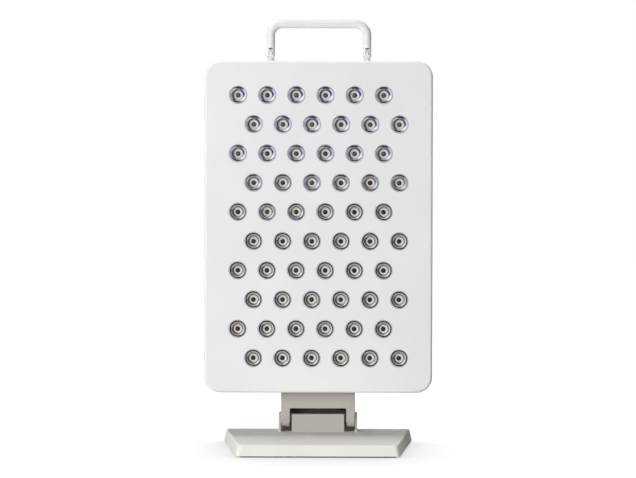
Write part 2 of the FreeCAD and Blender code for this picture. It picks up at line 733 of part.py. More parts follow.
def vent_slots():
    """Air slots in the rear wall beside the fans and in both side walls."""
    slots = []
    half = VENT_HEIGHT / 2
    mid_y = (HOUSING_FRONT_Y + PANEL_BACK_Y) / 2
    reach = SIDE_VENT_LENGTH / 2
    for side in (-1, 1):
        for row in range(VENT_ROWS):
            z = FAN_MID_Z + (row - (VENT_ROWS - 1) / 2) * VENT_PITCH
            centre = Vector(side * VENT_OFFSET_X, PANEL_BACK_Y, z)
            front = REAR_INNER_Y - REAR_SKIN
            back = PANEL_BACK_Y + REAR_SKIN
            slots.append(socket_plate(centre, VENT_LENGTH, VENT_HEIGHT, front, back, half * VENT_ROUNDNESS))
        for row in range(SIDE_VENT_ROWS):
            z = PANEL_MID_Z + (row - (SIDE_VENT_ROWS - 1) / 2) * VENT_PITCH
            x = side * PANEL_WIDTH / 2
            inner = x - 2 * REAR_SKIN
            outer = x + 2 * REAR_SKIN
            slots.append(rounded_box(inner, outer, mid_y - reach, mid_y + reach, z - half, z + half,
                                     X_AXIS, half * VENT_ROUNDNESS))
    return slots


def rear_housing():
    """Deep sheet-metal box with a stepped lip that fits inside the front pan."""
    shell = head_block(0, HOUSING_FRONT_Y, PANEL_BACK_Y)
    shell = shell.makeFillet(REAR_EDGE_R, edges_in_plane(shell, Y_AXIS, PANEL_BACK_Y))
    lip_outer = FRONT_SKIN + LIP_GAP
    lip = head_block(lip_outer, SEAM_Y - LIP_REACH, HOUSING_FRONT_Y)
    shell = shell.fuse(lip)
    step_y = HOUSING_FRONT_Y + REAR_SKIN
    shell = shell.cut(head_block(lip_outer + REAR_SKIN, SEAM_Y - LIP_REACH, step_y))
    shell = shell.cut(head_block(REAR_SKIN, step_y, REAR_INNER_Y))
    wall_y = REAR_INNER_Y - REAR_SKIN
    deep = 3 * REAR_SKIN
    holes = case_screw_cutters(THREAD_GAP) + vent_slots()
    for z in FAN_CENTRES_Z:
        holes += drilled(FAN_BORE_R, deep, [Vector(0, wall_y, z)], Y_AXIS)
        holes += drilled(BOLT_R + SCREW_GAP, deep, fan_hole_points(z, wall_y), Y_AXIS)
    screw_points = standoff_points(wall_y) + supply_screw_points(wall_y)
    holes += drilled(SCREW_R + SCREW_GAP, deep, screw_points, Y_AXIS)
    holes.append(wall_cutout(inlet_centre(), INLET_BODY_WIDTH, INLET_BODY_HEIGHT, INLET_CORNER_R))
    for centre in switch_centres():
        holes.append(wall_cutout(centre, SWITCH_BODY_WIDTH, SWITCH_BODY_HEIGHT, SWITCH_WALL))
    holes += drilled(BOLT_R + SCREW_GAP, NECK_LENGTH, neck_bolt_points(), Z_AXIS)
    tops = [Vector(side * HANDLE_SPAN / 2, HANDLE_Y, PANEL_TOP_Z + REAR_SKIN) for side in (-1, 1)]
    holes += drilled(POST_STUD_R + SCREW_GAP, deep, tops, -Z_AXIS)
    return shell.cut(holes)


def lens():
    """One lens about Z, its front face up at z = 0: rim, tapered body, hollow over the light."""
    depth = BOARD_SETBACK - HOLDER_FLOOR - LENS_RECESS
    taper = LENS_R - HOLDER_WALL / 2
    return turned([
        (0, 0),
        (LENS_R, 0),
        (LENS_R, -LENS_RIM),
        (taper, -LENS_RIM - HOLDER_WALL / 3),
        (LENS_BACK_R, -depth),
        (LENS_CAVITY_R, -depth),
        (LENS_CAVITY_R, LENS_CAVITY_DEPTH - depth),
        (0, LENS_CAVITY_DEPTH - depth),
    ])


def lenses():
    """All the lenses, set just behind the panel's face."""
    return copies(lens(), led_points(PANEL_FRONT_Y + LENS_RECESS), -Y_AXIS)


def lens_holder():
    """One cup about Z, its open end up at z = 0: tapered inside, with a hole in its floor."""
    length = BOARD_SETBACK - FRONT_SKIN - HOLDER_GAP
    bore = LENS_R + LENS_HOLE_GAP
    rim = LENS_RIM + HOLDER_WALL
    outer = Part.makeCylinder(bore + HOLDER_WALL, length, Vector(0, 0, -length))
    floor = HOLDER_FLOOR - length
    floor_r = LENS_BACK_R + 2 * LENS_HOLE_GAP
    inside = turned([(0, rim), (bore, rim), (bore, -rim), (floor_r, floor), (0, floor)])
    hole = Part.makeCylinder(LENS_CAVITY_R + LENS_HOLE_GAP, length, Vector(0, 0, -length))
    return outer.cut([inside, hole])


def lens_holders():
    """All the cups, standing on the board behind the panel."""
    return copies(lens_holder(), led_points(PANEL_FRONT_Y + FRONT_SKIN + HOLDER_GAP), -Y_AXIS)


def led_chips():
    """Square packages with a small dome, on the board's face."""
    half = CHIP_SIZE / 2
    chip = box(-half, half, -half, half, 0, CHIP_THICKNESS)
    dome = Part.makeSphere(CHIP_DOME_R, Vector(0, 0, CHIP_THICKNESS), Z_AXIS, 0, 90, 360)
    return copies(chip.fuse(dome), led_points(BOARD_Y), -Y_AXIS)


def lead_point(y):
    """Where the supply's lead passes the heat sink on its way to the board."""
    column = -((LED_COLUMNS - 1) * LED_PITCH_X + LED_STAGGER) / 2 + LED_COLUMNS / 2 * LED_PITCH_X
    return Vector(column - LED_PITCH_X / 2, y, SUPPLY_OUT_Z)


def led_board():
    """Metal-cored circuit board behind the lens cups."""
    x = BOARD_WIDTH / 2
    z = BOARD_HEIGHT / 2
    board = box(-x, x, BOARD_Y, SINK_Y, PANEL_MID_Z - z, PANEL_MID_Z + z)
    return board.cut(drilled(SCREW_R + SCREW_GAP, BOARD_THICKNESS, standoff_points(BOARD_Y), Y_AXIS))


def heatsink():
    """Aluminium plate with upright fins above the power supply."""
    x = BOARD_WIDTH / 2
    z = BOARD_HEIGHT / 2
    plate = box(-x, x, SINK_Y, SINK_BACK_Y, PANEL_MID_Z - z, PANEL_MID_Z + z)
    fins = []
    for place in range(FIN_COUNT):
        centre = (place / (FIN_COUNT - 1) - 0.5) * FIN_SPAN
        fins.append(box(centre - FIN_THICKNESS / 2, centre + FIN_THICKNESS / 2, SINK_Y, FIN_END_Y,
                        SUPPLY_TOP_Z + SUPPLY_RISE, PANEL_MID_Z + z))
    holes = drilled(SCREW_R + SCREW_GAP, SINK_BASE, standoff_points(SINK_Y), Y_AXIS)
    holes += drilled(2 * WIRE_R, SINK_BASE, [lead_point(SINK_Y)], Y_AXIS)
    return plate.fuse(fins).cut(holes)


def board_screws():
    """Screws through board and heat sink into the standoffs."""
    length = BOARD_THICKNESS + SINK_BASE + 2 * NUT_THICKNESS
    return copies(pan_screw(SCREW_R, SCREW_HEAD_R, SCREW_HEAD, length), standoff_points(BOARD_Y), -Y_AXIS)


def standoffs():
    """Posts between heat sink and rear wall, threaded at both ends."""
    posts = []
    for point in standoff_points(SINK_BACK_Y):
        back = Vector(point.x, REAR_INNER_Y, point.z)
        bore = rod(SCREW_R + THREAD_GAP, point, back)
        posts.append(rod(STANDOFF_R, point, back).cut(bore))
    return posts


def rear_screws():
    """Screws through the rear wall into the standoffs."""
    length = REAR_SKIN + 2 * NUT_THICKNESS
    return copies(pan_screw(SCREW_R, SCREW_HEAD_R, SCREW_HEAD, length), standoff_points(PANEL_BACK_Y), Y_AXIS)


def fan_frame(z):
    """Square fan frame with four struts that carry the motor plate and its bearing tube."""
    half = FAN_SIZE / 2
    frame = rounded_box(-half, half, FAN_FRONT_Y, REAR_INNER_Y, z - half, z + half, Y_AXIS, FAN_CORNER_R)
    centre = Vector(0, FAN_FRONT_Y, z)
    rim = centre + FAN_FLANGE * Y_AXIS
    waist = Part.makeCylinder(FAN_SIZE, FAN_DEPTH - 2 * FAN_FLANGE, rim, Y_AXIS)
    waist = waist.cut(Part.makeCylinder(half - FAN_WAIST_INSET, FAN_DEPTH, centre, Y_AXIS))
    frame = frame.cut([waist, Part.makeCylinder(FAN_BORE_R, FAN_DEPTH, centre, Y_AXIS)])
    strut = FAN_STRUT_WIDTH / 2
    reach = (FAN_BORE_R + half) / 2
    across = box(-reach, reach, FAN_FRONT_Y, FAN_FRONT_Y + MOTOR_PLATE, z - strut, z + strut)
    upright = box(-strut, strut, FAN_FRONT_Y, FAN_FRONT_Y + MOTOR_PLATE, z - reach, z + reach)
    plate = Part.makeCylinder(MOTOR_PLATE_R, MOTOR_PLATE, centre, Y_AXIS)
    tube = Part.makeCylinder(BEARING_R, MOTOR_PLATE + BEARING_LENGTH, centre, Y_AXIS)
    frame = frame.fuse([across, upright, plate, tube])
    holes = drilled(BOLT_R + SCREW_GAP, FAN_DEPTH, fan_hole_points(z, FAN_FRONT_Y), Y_AXIS)
    holes += drilled(SHAFT_R + RUN_GAP, FAN_DEPTH, [centre + MOTOR_PLATE / 2 * Y_AXIS], Y_AXIS)
    return frame.cut(holes)


def fan_frames():
    """Both fan frames."""
    return [fan_frame(z) for z in FAN_CENTRES_Z]


def fan_rotor(z):
    """Cup-shaped hub with a shaft and pitched blades."""
    front = FAN_FRONT_Y + MOTOR_PLATE + ROTOR_END_GAP
    back = REAR_INNER_Y - ROTOR_END_GAP
    hub = rod(HUB_R, Vector(0, front, z), Vector(0, back, z))
    hub = hub.makeFillet(HUB_EDGE_R, edges_in_plane(hub, Y_AXIS, back))
    tip_r = FAN_BORE_R - ROTOR_TIP_GAP
    blades = []
    for place in range(BLADE_COUNT):
        blade = box(HUB_R - HUB_WALL / 2, FAN_BORE_R, -BLADE_CHORD / 2, BLADE_CHORD / 2,
                    -BLADE_THICKNESS / 2, BLADE_THICKNESS / 2)
        blade.rotate(Vector(), X_AXIS, BLADE_PITCH_DEG)
        blade.rotate(Vector(), Y_AXIS, 360 * place / BLADE_COUNT)
        blade.translate(Vector(0, (front + back) / 2, z))
        blades.append(blade)
    length = back - front
    sweep_start = Vector(0, front + ROTOR_END_GAP / 2, z)
    sweep = Part.makeCylinder(tip_r, length - ROTOR_END_GAP, sweep_start, Y_AXIS)
    inner = Part.makeCylinder(HUB_R - HUB_WALL, length - HUB_WALL, Vector(0, front, z), Y_AXIS)
    shaft = rod(SHAFT_R, Vector(0, front - ROTOR_END_GAP, z), Vector(0, back - HUB_WALL / 2, z))
    trimmed = [blade.common(sweep) for blade in blades]
    return hub.fuse(trimmed).cut(inner).fuse(shaft).removeSplitter()


def fan_guard(z):
    """Wire guard outside the rear wall: rings welded on four spokes that end in eyes."""
    spoke_y = PANEL_BACK_Y + GUARD_SPOKE_LIFT + GUARD_SPOKE_R
    ring_y = spoke_y + GUARD_SPOKE_R + GUARD_WIRE_R / 3
    rings = []
    for place in range(GUARD_RINGS):
        radius = GUARD_RING_STEP * (place + 1)
        rings.append(Part.makeTorus(radius, GUARD_WIRE_R, Vector(0, ring_y, z), Y_AXIS))
    guard = []
    for eye in fan_hole_points(z, PANEL_BACK_Y):
        outward = Vector(eye.x, 0, eye.z - z).normalize()
        start = Vector(0, spoke_y, z) + outward * GUARD_RING_STEP * RECESS_SHARE
        end = Vector(eye.x, spoke_y, eye.z) - outward * (GUARD_EYE_R - SCREW_R / 2)
        guard.append(rod(GUARD_SPOKE_R, start, end))
        washer = Part.makeCylinder(GUARD_EYE_R, GUARD_EYE_THICKNESS, eye, Y_AXIS)
        guard.append(washer)
    whole = guard[0].fuse(guard[1:] + rings)
    eyes = fan_hole_points(z, PANEL_BACK_Y)
    return whole.cut(drilled(BOLT_R + SCREW_GAP, 4 * GUARD_EYE_THICKNESS, eyes, Y_AXIS))


def fan_guards():
    """Both wire guards."""
    return [fan_guard(z) for z in FAN_CENTRES_Z]


def fan_screws():
    """Screws through guard, wall and fan frame."""
    length = GUARD_EYE_THICKNESS + REAR_SKIN + FAN_DEPTH + NUT_THICKNESS + STUD_END
    screw = pan_screw(BOLT_R, BOLT_HEAD_R, BOLT_HEAD, length)
    seat = PANEL_BACK_Y + GUARD_EYE_THICKNESS
    points = [point for z in FAN_CENTRES_Z for point in fan_hole_points(z, seat)]
    return copies(screw, points, Y_AXIS)


def fan_nuts():
    """Nuts on the fan screws, against the frames."""
    nut = hex_nut(NUT_R, BOLT_R + THREAD_GAP, NUT_THICKNESS)
    points = [point for z in FAN_CENTRES_Z for point in fan_hole_points(z, FAN_FRONT_Y)]
    return copies(nut, points, -Y_AXIS)


def inlet_pin_points(y):
    """Three blades: two in line and the middle one set higher."""
    low = SOCKET_Z - INLET_PIN_OFFSET
    high = SOCKET_Z + INLET_PIN_OFFSET
    return [
        Vector(INLET_X - INLET_PIN_PITCH, y, low),
        Vector(INLET_X, y, high),
        Vector(INLET_X + INLET_PIN_PITCH, y, low),
    ]


def inlet_blade(point, y0, y1, gap):
    """Upright blade or its slot between two depths."""
    x = INLET_PIN_WIDTH / 2 + gap
    z = INLET_PIN_HEIGHT / 2 + gap
    return box(point.x - x, point.x + x, y0, y1, point.z - z, point.z + z)


def power_inlet():
    """Moulded socket with a flange outside the wall and a deep recess."""
    centre = inlet_centre()
    radius = INLET_CORNER_R
    floor = INLET_FACE_Y - INLET_RECESS_DEPTH
    flange = socket_plate(centre, INLET_FLANGE_WIDTH, INLET_FLANGE_HEIGHT, PANEL_BACK_Y, INLET_FACE_Y, radius)
    body = socket_plate(centre, INLET_BODY_WIDTH, INLET_BODY_HEIGHT, INLET_BACK_Y, INLET_FACE_Y, radius)
    recess = socket_plate(centre, INLET_RECESS_WIDTH, INLET_RECESS_HEIGHT, floor, INLET_FACE_Y, radius)
    slots = [inlet_blade(point, INLET_BACK_Y, INLET_FACE_Y, SEAT_GAP) for point in inlet_pin_points(0)]
    return flange.fuse(body).cut([recess] + slots)


def inlet_pins():
    """The inlet's three blades, with tails for the wires."""
    tail = INLET_BACK_Y - INLET_PIN_TAIL
    tip = INLET_FACE_Y - INLET_PIN_RECESS
    return [inlet_blade(point, tail, tip, 0) for point in inlet_pin_points(tip)]


def switch_housing(centre):
    """Switch body with a flange, a cavity and two holes for the rocker's stubs."""
    width = SWITCH_BODY_WIDTH
    height = SWITCH_BODY_HEIGHT
    radius = SWITCH_WALL
    face = SWITCH_FACE_Y
    flange = socket_plate(centre, SWITCH_FLANGE_WIDTH, SWITCH_FLANGE_HEIGHT, PANEL_BACK_Y, face, radius)
    body = socket_plate(centre, width, height, SWITCH_BACK_Y, face, radius)
    x = width / 2 - SWITCH_WALL
    z = height / 2 - SWITCH_WALL
    floor = SWITCH_BACK_Y + SWITCH_FLOOR
    cavity = box(centre.x - x, centre.x + x, floor, face, centre.z - z, centre.z + z)
    reach = SWITCH_BODY_WIDTH / 2 - SWITCH_WALL / 2
    left = Vector(centre.x - reach, ROCKER_PIVOT_Y, centre.z)
    right = Vector(centre.x + reach, ROCKER_PIVOT_Y, centre.z)
    return flange.fuse(body).cut([cavity, rod(ROCKER_PIVOT_R + RUN_GAP, left, right)])


def switch_housings():
    """Both switch bodies."""
    return [switch_housing(centre) for centre in switch_centres()]


def rocker(centre):
    """Rocker pressed at its lower end: two facets that meet in a shallow valley, and a skirt."""
    half = SWITCH_BODY_HEIGHT / 2 - SWITCH_WALL - ROCKER_GAP / 2
    rise = half * math.tan(math.radians(ROCKER_TILT_DEG))
    inside = SWITCH_BODY_WIDTH / 2 - SWITCH_WALL - ROCKER_GAP
    top = ROCKER_PIVOT_DEPTH
    profile = [
        Vector(-inside, top, 0),
        Vector(-inside, top + rise, half),
        Vector(-inside, 0, half),
        Vector(-inside, -ROCKER_SKIRT, half / 2),
        Vector(-inside, -ROCKER_SKIRT, -half / 2),
        Vector(-inside, 0, -half),
        Vector(-inside, top + rise, -half),
    ]
    body = Part.Face(Part.makePolygon(profile + profile[:1])).extrude(Vector(2 * inside, 0, 0))
    body = body.common(Part.makeCylinder(half, 2 * inside, Vector(-inside, 0, 0), X_AXIS))
    stub = SWITCH_BODY_WIDTH / 2 - SWITCH_WALL / 2 - RUN_GAP
    body = body.fuse(rod(ROCKER_PIVOT_R, Vector(-stub, 0, 0), Vector(stub, 0, 0)))
    body.rotate(Vector(), X_AXIS, -ROCKER_TILT_DEG)
    body.translate(Vector(centre.x, ROCKER_PIVOT_Y, centre.z))
    return body


def supply_tray():
    """Aluminium channel on the rear wall, with four spacers for the board."""
    x = SUPPLY_WIDTH / 2
    front = REAR_INNER_Y - SUPPLY_FLANGE
    inner = x - SUPPLY_WALL
    tray = box(-x, x, front, REAR_INNER_Y, SUPPLY_BOTTOM_Z, SUPPLY_TOP_Z)
    hollow = box(-inner, inner, front, TRAY_FACE_Y, SUPPLY_BOTTOM_Z, SUPPLY_TOP_Z)
    spacers = [rod(SUPPLY_SPACER_R, point, Vector(point.x, TRAY_FACE_Y, point.z))
               for point in supply_screw_points(SUPPLY_BOARD_BACK_Y)]
    bores = [rod(SCREW_R + THREAD_GAP, point, Vector(point.x, PANEL_BACK_Y, point.z))
             for point in supply_screw_points(SUPPLY_BOARD_BACK_Y)]
    return tray.cut(hollow).fuse(spacers).cut(bores)


def supply_board():
    """Power supply's circuit board, on the spacers."""
    x = SUPPLY_WIDTH / 2 - SUPPLY_WALL - SUPPLY_BOARD_GAP
    board = box(-x, x, SUPPLY_BOARD_Y, SUPPLY_BOARD_BACK_Y,
                SUPPLY_BOTTOM_Z + SUPPLY_BOARD_GAP, SUPPLY_TOP_Z - SUPPLY_BOARD_GAP)
    points = supply_screw_points(SUPPLY_BOARD_Y)
    return board.cut(drilled(SCREW_R + SCREW_GAP, BOARD_THICKNESS, points, Y_AXIS))


def supply_parts():
    """Terminal blocks, transformer and capacitors on the board's face."""
    half = TERMINAL_HEIGHT / 2
    x = TERMINAL_WIDTH / 2
    parts = []
    for z in (SUPPLY_IN_Z, SUPPLY_OUT_Z):
        parts.append(box(-x, x, TERMINAL_FRONT_Y, SUPPLY_BOARD_Y, z - half, z + half))
    middle = (SUPPLY_IN_Z + SUPPLY_OUT_Z) / 2
    low = middle - TRANSFORMER_HEIGHT / 2
    left = -COMPONENT_OFFSET_X - TRANSFORMER_WIDTH / 2
    front = SUPPLY_BOARD_Y - TRANSFORMER_DEPTH
    parts.append(box(left, left + TRANSFORMER_WIDTH, front, SUPPLY_BOARD_Y, low, low + TRANSFORMER_HEIGHT))
    for up in (-1, 1):
        foot = Vector(COMPONENT_OFFSET_X, SUPPLY_BOARD_Y, middle + up * (CAPACITOR_R + SUPPLY_WALL))
        parts.append(Part.makeCylinder(CAPACITOR_R, CAPACITOR_LENGTH, foot, -Y_AXIS))
    return parts


def supply_screws():
    """Screws from the rear wall and from the board into the spacers."""
    grip = SUPPLY_SPACER_LENGTH / 2 - THREAD_GAP
    screw = pan_screw(SCREW_R, SCREW_HEAD_R, SCREW_HEAD, REAR_SKIN + SUPPLY_WALL + grip)
    short = pan_screw(SCREW_R, SCREW_HEAD_R, SCREW_HEAD, BOARD_THICKNESS + grip)
    rear = copies(screw, supply_screw_points(PANEL_BACK_Y), Y_AXIS)
    return rear + copies(short, supply_screw_points(SUPPLY_BOARD_Y), -Y_AXIS)


def looped_wire(start, depth, end):
    """Insulated wire that leaves forwards, crosses over and comes back, with round bends."""
    turn = WIRE_BEND_R
    side = 1 if end.x > start.x else -1
    middle = turn * math.sqrt(0.5)
    near = Vector(start.x + side * (turn - middle), depth + turn - middle, start.z)
    far = Vector(end.x - side * (turn - middle), depth + turn - middle, end.z)
    corners = [
        start,
        Vector(start.x, depth + turn, start.z),
        Vector(start.x + side * turn, depth, start.z),
        Vector(end.x - side * turn, depth, end.z),
        Vector(end.x, depth + turn, end.z),
        end,
    ]
    path = Part.Wire([
        Part.makeLine(corners[0], corners[1]),
        Part.Arc(corners[1], near, corners[2]).toShape(),
        Part.makeLine(corners[2], corners[3]),
        Part.Arc(corners[3], far, corners[4]).toShape(),
        Part.makeLine(corners[4], corners[5]),
    ])
    section = Part.Wire(Part.makeCircle(WIRE_R, start, Y_AXIS))
    return path.makePipeShell([section], True, True)


def wiring():
    """Wires between inlet, switches, power supply, lights and fans."""
    left, right = switch_centres()
    inner = TERMINAL_WIDTH / 2 - 2 * WIRE_R
    depth = TERMINAL_FRONT_Y - WIRE_DEPTH
    inlet_tab = Vector(INLET_X, INLET_BACK_Y, SUPPLY_IN_Z)
    right_tab = Vector(right.x, SWITCH_BACK_Y, SUPPLY_IN_Z)
    left_tab = Vector(left.x, SWITCH_BACK_Y, SUPPLY_IN_Z)
    ends = [Vector(x, TERMINAL_FRONT_Y, SUPPLY_IN_Z) for x in (inner, -inner, 4 * WIRE_R - inner)]
    wires = [
        looped_wire(inlet_tab, depth, ends[0]),
        looped_wire(right_tab, depth, ends[1]),
        looped_wire(left_tab, depth - 3 * WIRE_R, ends[2]),
        rod(WIRE_R, lead_point(SINK_Y), lead_point(TERMINAL_FRONT_Y)),
    ]
    lead_y = FAN_FRONT_Y + FAN_FLANGE / 2
    top, low = FAN_CENTRES_Z
    half = FAN_SIZE / 2
    for z0, z1 in ((SUPPLY_OUT_Z + TERMINAL_HEIGHT / 2, low - half), (low + half, top - half)):
        start = Vector(COMPONENT_OFFSET_X, lead_y, z0)
        wires.append(rod(WIRE_R, start, Vector(COMPONENT_OFFSET_X, lead_y, z1)))
    return wires


def cross_rod(radius, x, half_length):
    """Round bar along X through a handle pivot."""
    middle = Vector(x, HANDLE_Y, PIVOT_Z)
    return rod(radius, middle - half_length * X_AXIS, middle + half_length * X_AXIS)


def handle():
    """Bent round rod; each leg ends in a fork that is rounded about its pin."""
    x = HANDLE_SPAN / 2
    low = PIVOT_Z - ROD_R
    bend = HANDLE_BEND_R
    middle = bend * math.sqrt(0.5)
    corners = [
        Vector(-x, HANDLE_Y, low),
        Vector(-x, HANDLE_Y, BAR_Z - bend),
        Vector(bend - x, HANDLE_Y, BAR_Z),
        Vector(x - bend, HANDLE_Y, BAR_Z),
        Vector(x, HANDLE_Y, BAR_Z - bend),
        Vector(x, HANDLE_Y, low),
    ]
    left = Vector(bend - x - middle, HANDLE_Y, BAR_Z - bend + middle)
    right = Vector(x - bend + middle, HANDLE_Y, BAR_Z - bend + middle)
    path = Part.Wire([
        Part.makeLine(corners[0], corners[1]),
        Part.Arc(corners[1], left, corners[2]).toShape(),
        Part.makeLine(corners[2], corners[3]),
        Part.Arc(corners[3], right, corners[4]).toShape(),
        Part.makeLine(corners[4], corners[5]),
    ])
    section = Part.Wire(Part.makeCircle(ROD_R, corners[0], Z_AXIS))
    bar = path.makePipeShell([section], True, True)
    cutters = []
    reach = 2 * ROD_R
    front = HANDLE_Y - reach
    back = HANDLE_Y + reach
    slot = FORK_SLOT_WIDTH / 2
    for leg in (-x, x):
        corner = box(leg - reach, leg + reach, front, back, low - reach, PIVOT_Z)
        cutters.append(corner.cut(cross_rod(ROD_R, leg, reach)))
        cutters.append(box(leg - slot, leg + slot, front, back, low - reach, PIVOT_Z + FORK_SLOT_DEPTH))
        cutters.append(cross_rod(HANDLE_PIN_R + SEAT_GAP, leg, reach))
    return bar.cut(cutters)


def handle_pins():
    """Pins pressed across the forks."""
    half = ROD_R - HANDLE_PIN_INSET
    return [cross_rod(HANDLE_PIN_R, side * HANDLE_SPAN / 2, half) for side in (-1, 1)]


def handle_post(x):
    """Turned post: foot, cone, flat tang with the pin's hole, and a stud through the wall."""
    base = Vector(x, HANDLE_Y, PANEL_TOP_Z)
    foot = Part.makeCylinder(POST_R, POST_FOOT, base)
    cone_height = POST_TOP_Z - PANEL_TOP_Z - POST_FOOT
    cone = Part.makeCone(POST_R, POST_NECK_R, cone_height, base + POST_FOOT * Z_AXIS)
    half = TANG_THICKNESS / 2
    front = HANDLE_Y - POST_NECK_R
    back = HANDLE_Y + POST_NECK_R
    tang = box(x - half, x + half, front, back, POST_TOP_Z - POST_FOOT, PIVOT_Z)
    eye = cross_rod(TANG_R, x, half)
    length = REAR_SKIN + POST_NUT_THICKNESS + STUD_END
    stud = Part.makeCylinder(POST_STUD_R, length, base - Vector(0, 0, length))
    return foot.fuse([cone, tang, eye, stud]).cut(cross_rod(HANDLE_PIN_R + RUN_GAP, x, ROD_R))


def handle_posts():
    """Both posts."""
    return [handle_post(side * HANDLE_SPAN / 2) for side in (-1, 1)]


def post_nuts():
    """Nuts on the posts' studs, inside the housing."""
    nut = hex_nut(POST_NUT_R, POST_STUD_R + THREAD_GAP, POST_NUT_THICKNESS)
    z = PANEL_TOP_Z - REAR_SKIN - POST_NUT_THICKNESS
    return copies(nut, [Vector(side * HANDLE_SPAN / 2, HANDLE_Y, z) for side in (-1, 1)])


def save(name, shape):
    """Check one sub-part and write it to its own file."""
    whole = Part.makeCompound(shape) if isinstance(shape, list) else shape
    if not whole.isValid():
        raise ValueError(name + " is not valid")
    for solid in whole.Solids:
        if not solid.isClosed() or solid.Volume <= 0:
            raise ValueError(name + " has an open or empty solid")
    whole.exportStep("parts/" + name + ".step")
    print(name, len(whole.Solids), "solids", round(sum(solid.Volume for solid in whole.Solids)), "mm3")


def build():
    """Write every sub-part."""
    os.makedirs("parts", exist_ok=True)
    left_switch, right_switch = switch_centres()
    upper_fan, lower_fan = FAN_CENTRES_Z
    save("base_cover", base_cover())
    save("base_weight", base_weight())
    save("base_pad", base_pad())
    save("base_screws", base_screws())
    save("block_screws", block_screws())
    save("hinge_block", hinge_block())
    save("hinge_pin", hinge_pin())
    save("friction_washers", friction_washers())
    save("neck", neck())
    save("neck_bolts", neck_bolts())
    save("neck_backing_plate", neck_backing_plate())
    save("front_panel", front_panel())
    save("rear_housing", rear_housing())
    save("case_screws", case_screws())
    save("lenses", lenses())
    save("lens_holders", lens_holders())
    save("led_chips", led_chips())
    save("led_board", led_board())
    save("heatsink", heatsink())
    save("board_screws", board_screws())
    save("standoffs", standoffs())
    save("rear_screws", rear_screws())
    save("fan_frames", fan_frames())
    save("fan_rotor_upper", fan_rotor(upper_fan))
    save("fan_rotor_lower", fan_rotor(lower_fan))
    save("fan_guards", fan_guards())
    save("fan_screws", fan_screws())
    save("fan_nuts", fan_nuts())
    save("power_inlet", power_inlet())
    save("inlet_pins", inlet_pins())
    save("switch_housings", switch_housings())
    save("rocker_red", rocker(left_switch))
    save("rocker_infrared", rocker(right_switch))
    save("supply_tray", supply_tray())
    save("supply_board", supply_board())
    save("supply_parts", supply_parts())
    save("supply_screws", supply_screws())
    save("wiring", wiring())
    save("handle", handle())
    save("handle_pins", handle_pins())
    save("handle_posts", handle_posts())
    save("post_nuts", post_nuts())


build()
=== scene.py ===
# %% [markdown]
# # A light therapy lamp, dressed over its CAD frame
#
# The lamp is a flat white panel with sixty lenses, held by a neck on a heavy
# base. The CAD model already has every part in its right place, in metres, so
# this lesson is about looks: how light falls on it, what each surface is made
# of, and which pieces are worth building again with finer surfaces.
#
# The first cell loads the CAD model. Each part comes in as a mesh whose
# points are already in place, and it rides on the body that moves it.

# %% Load the frame
import json
import math

import bpy
import numpy as np
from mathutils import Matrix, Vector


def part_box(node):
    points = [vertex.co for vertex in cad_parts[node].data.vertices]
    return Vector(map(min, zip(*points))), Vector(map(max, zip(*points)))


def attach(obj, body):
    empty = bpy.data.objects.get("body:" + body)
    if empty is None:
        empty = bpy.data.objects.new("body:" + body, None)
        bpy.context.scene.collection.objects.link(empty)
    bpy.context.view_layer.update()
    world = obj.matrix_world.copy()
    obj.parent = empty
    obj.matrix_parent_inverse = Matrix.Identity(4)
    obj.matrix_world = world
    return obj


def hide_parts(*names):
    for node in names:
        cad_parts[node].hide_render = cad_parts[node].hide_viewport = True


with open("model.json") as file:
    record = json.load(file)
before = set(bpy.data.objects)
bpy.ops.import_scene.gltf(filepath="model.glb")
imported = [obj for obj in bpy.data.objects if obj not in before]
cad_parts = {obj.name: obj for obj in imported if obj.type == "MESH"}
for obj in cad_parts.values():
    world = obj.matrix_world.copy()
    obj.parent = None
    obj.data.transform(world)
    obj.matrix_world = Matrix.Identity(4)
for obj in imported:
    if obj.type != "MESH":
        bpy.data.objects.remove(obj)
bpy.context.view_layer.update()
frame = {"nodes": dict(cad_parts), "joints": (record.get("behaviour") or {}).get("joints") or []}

# %% [markdown]
# ## The camera
#
# The picture of the lamp is taken from straight in front, level, a little
# below the middle of the panel, with a long lens from about 1.7 metres. A
# long lens keeps the panel's edges parallel. A camera could be pointed at the
# lamp with a constraint, but plain numbers are easier to read and stay put.
# It was rolled by a seventh of a degree, which the edges of the panel give away.

# %% Place the camera
IMAGE_WIDTH = 636
FOCAL_PIXELS = 1850
SENSOR_WIDTH = 36
CAMERA_PLACE = (-0.0004, -1.69275, 0.1924)
CAMERA_ROLL = math.radians(0.145)

camera_data = bpy.data.cameras.new("camera")
camera_data.sensor_fit = "HORIZONTAL"
camera_data.sensor_width = SENSOR_WIDTH
camera_data.lens = FOCAL_PIXELS * SENSOR_WIDTH / IMAGE_WIDTH
camera_data.clip_end = 50
camera = bpy.data.objects.new("camera", camera_data)
camera.location = CAMERA_PLACE
camera.rotation_euler = (math.radians(90), -CAMERA_ROLL, 0)
bpy.context.scene.collection.objects.link(camera)
bpy.context.scene.camera = camera
print("camera lens", round(camera_data.lens, 2), "mm")

# %% [markdown]
# ## Small helpers for materials
#
# A material is a little graph of nodes. Writing each link by hand hides the
# idea, so these helpers add one node and set its sockets in one line. Every
# graph starts from the point's place on the object, in metres, so that grain
# has its true size on every piece.

# %% Helpers for material graphs
def srgb(red, green, blue):
    """A screen colour of 0 to 255 turned into light.

    Light is ((c + 0.055) / 1.055) to the power 2.4, or c / 12.92 where the colour is dark.
    """
    channels = np.array([red, green, blue]) / 255
    light = np.where(channels > 0.04045, ((channels + 0.055) / 1.055) ** 2.4, channels / 12.92)
    return (*[float(v) for v in light], 1.0)


def find_socket(node, key):
    """A socket by its number, written n0, n1 and so on, or by its name with _ for each space."""
    if key[0] == "n" and key[1:].isdigit():
        return node.inputs[int(key[1:])]
    return node.inputs[key.replace("_", " ")]


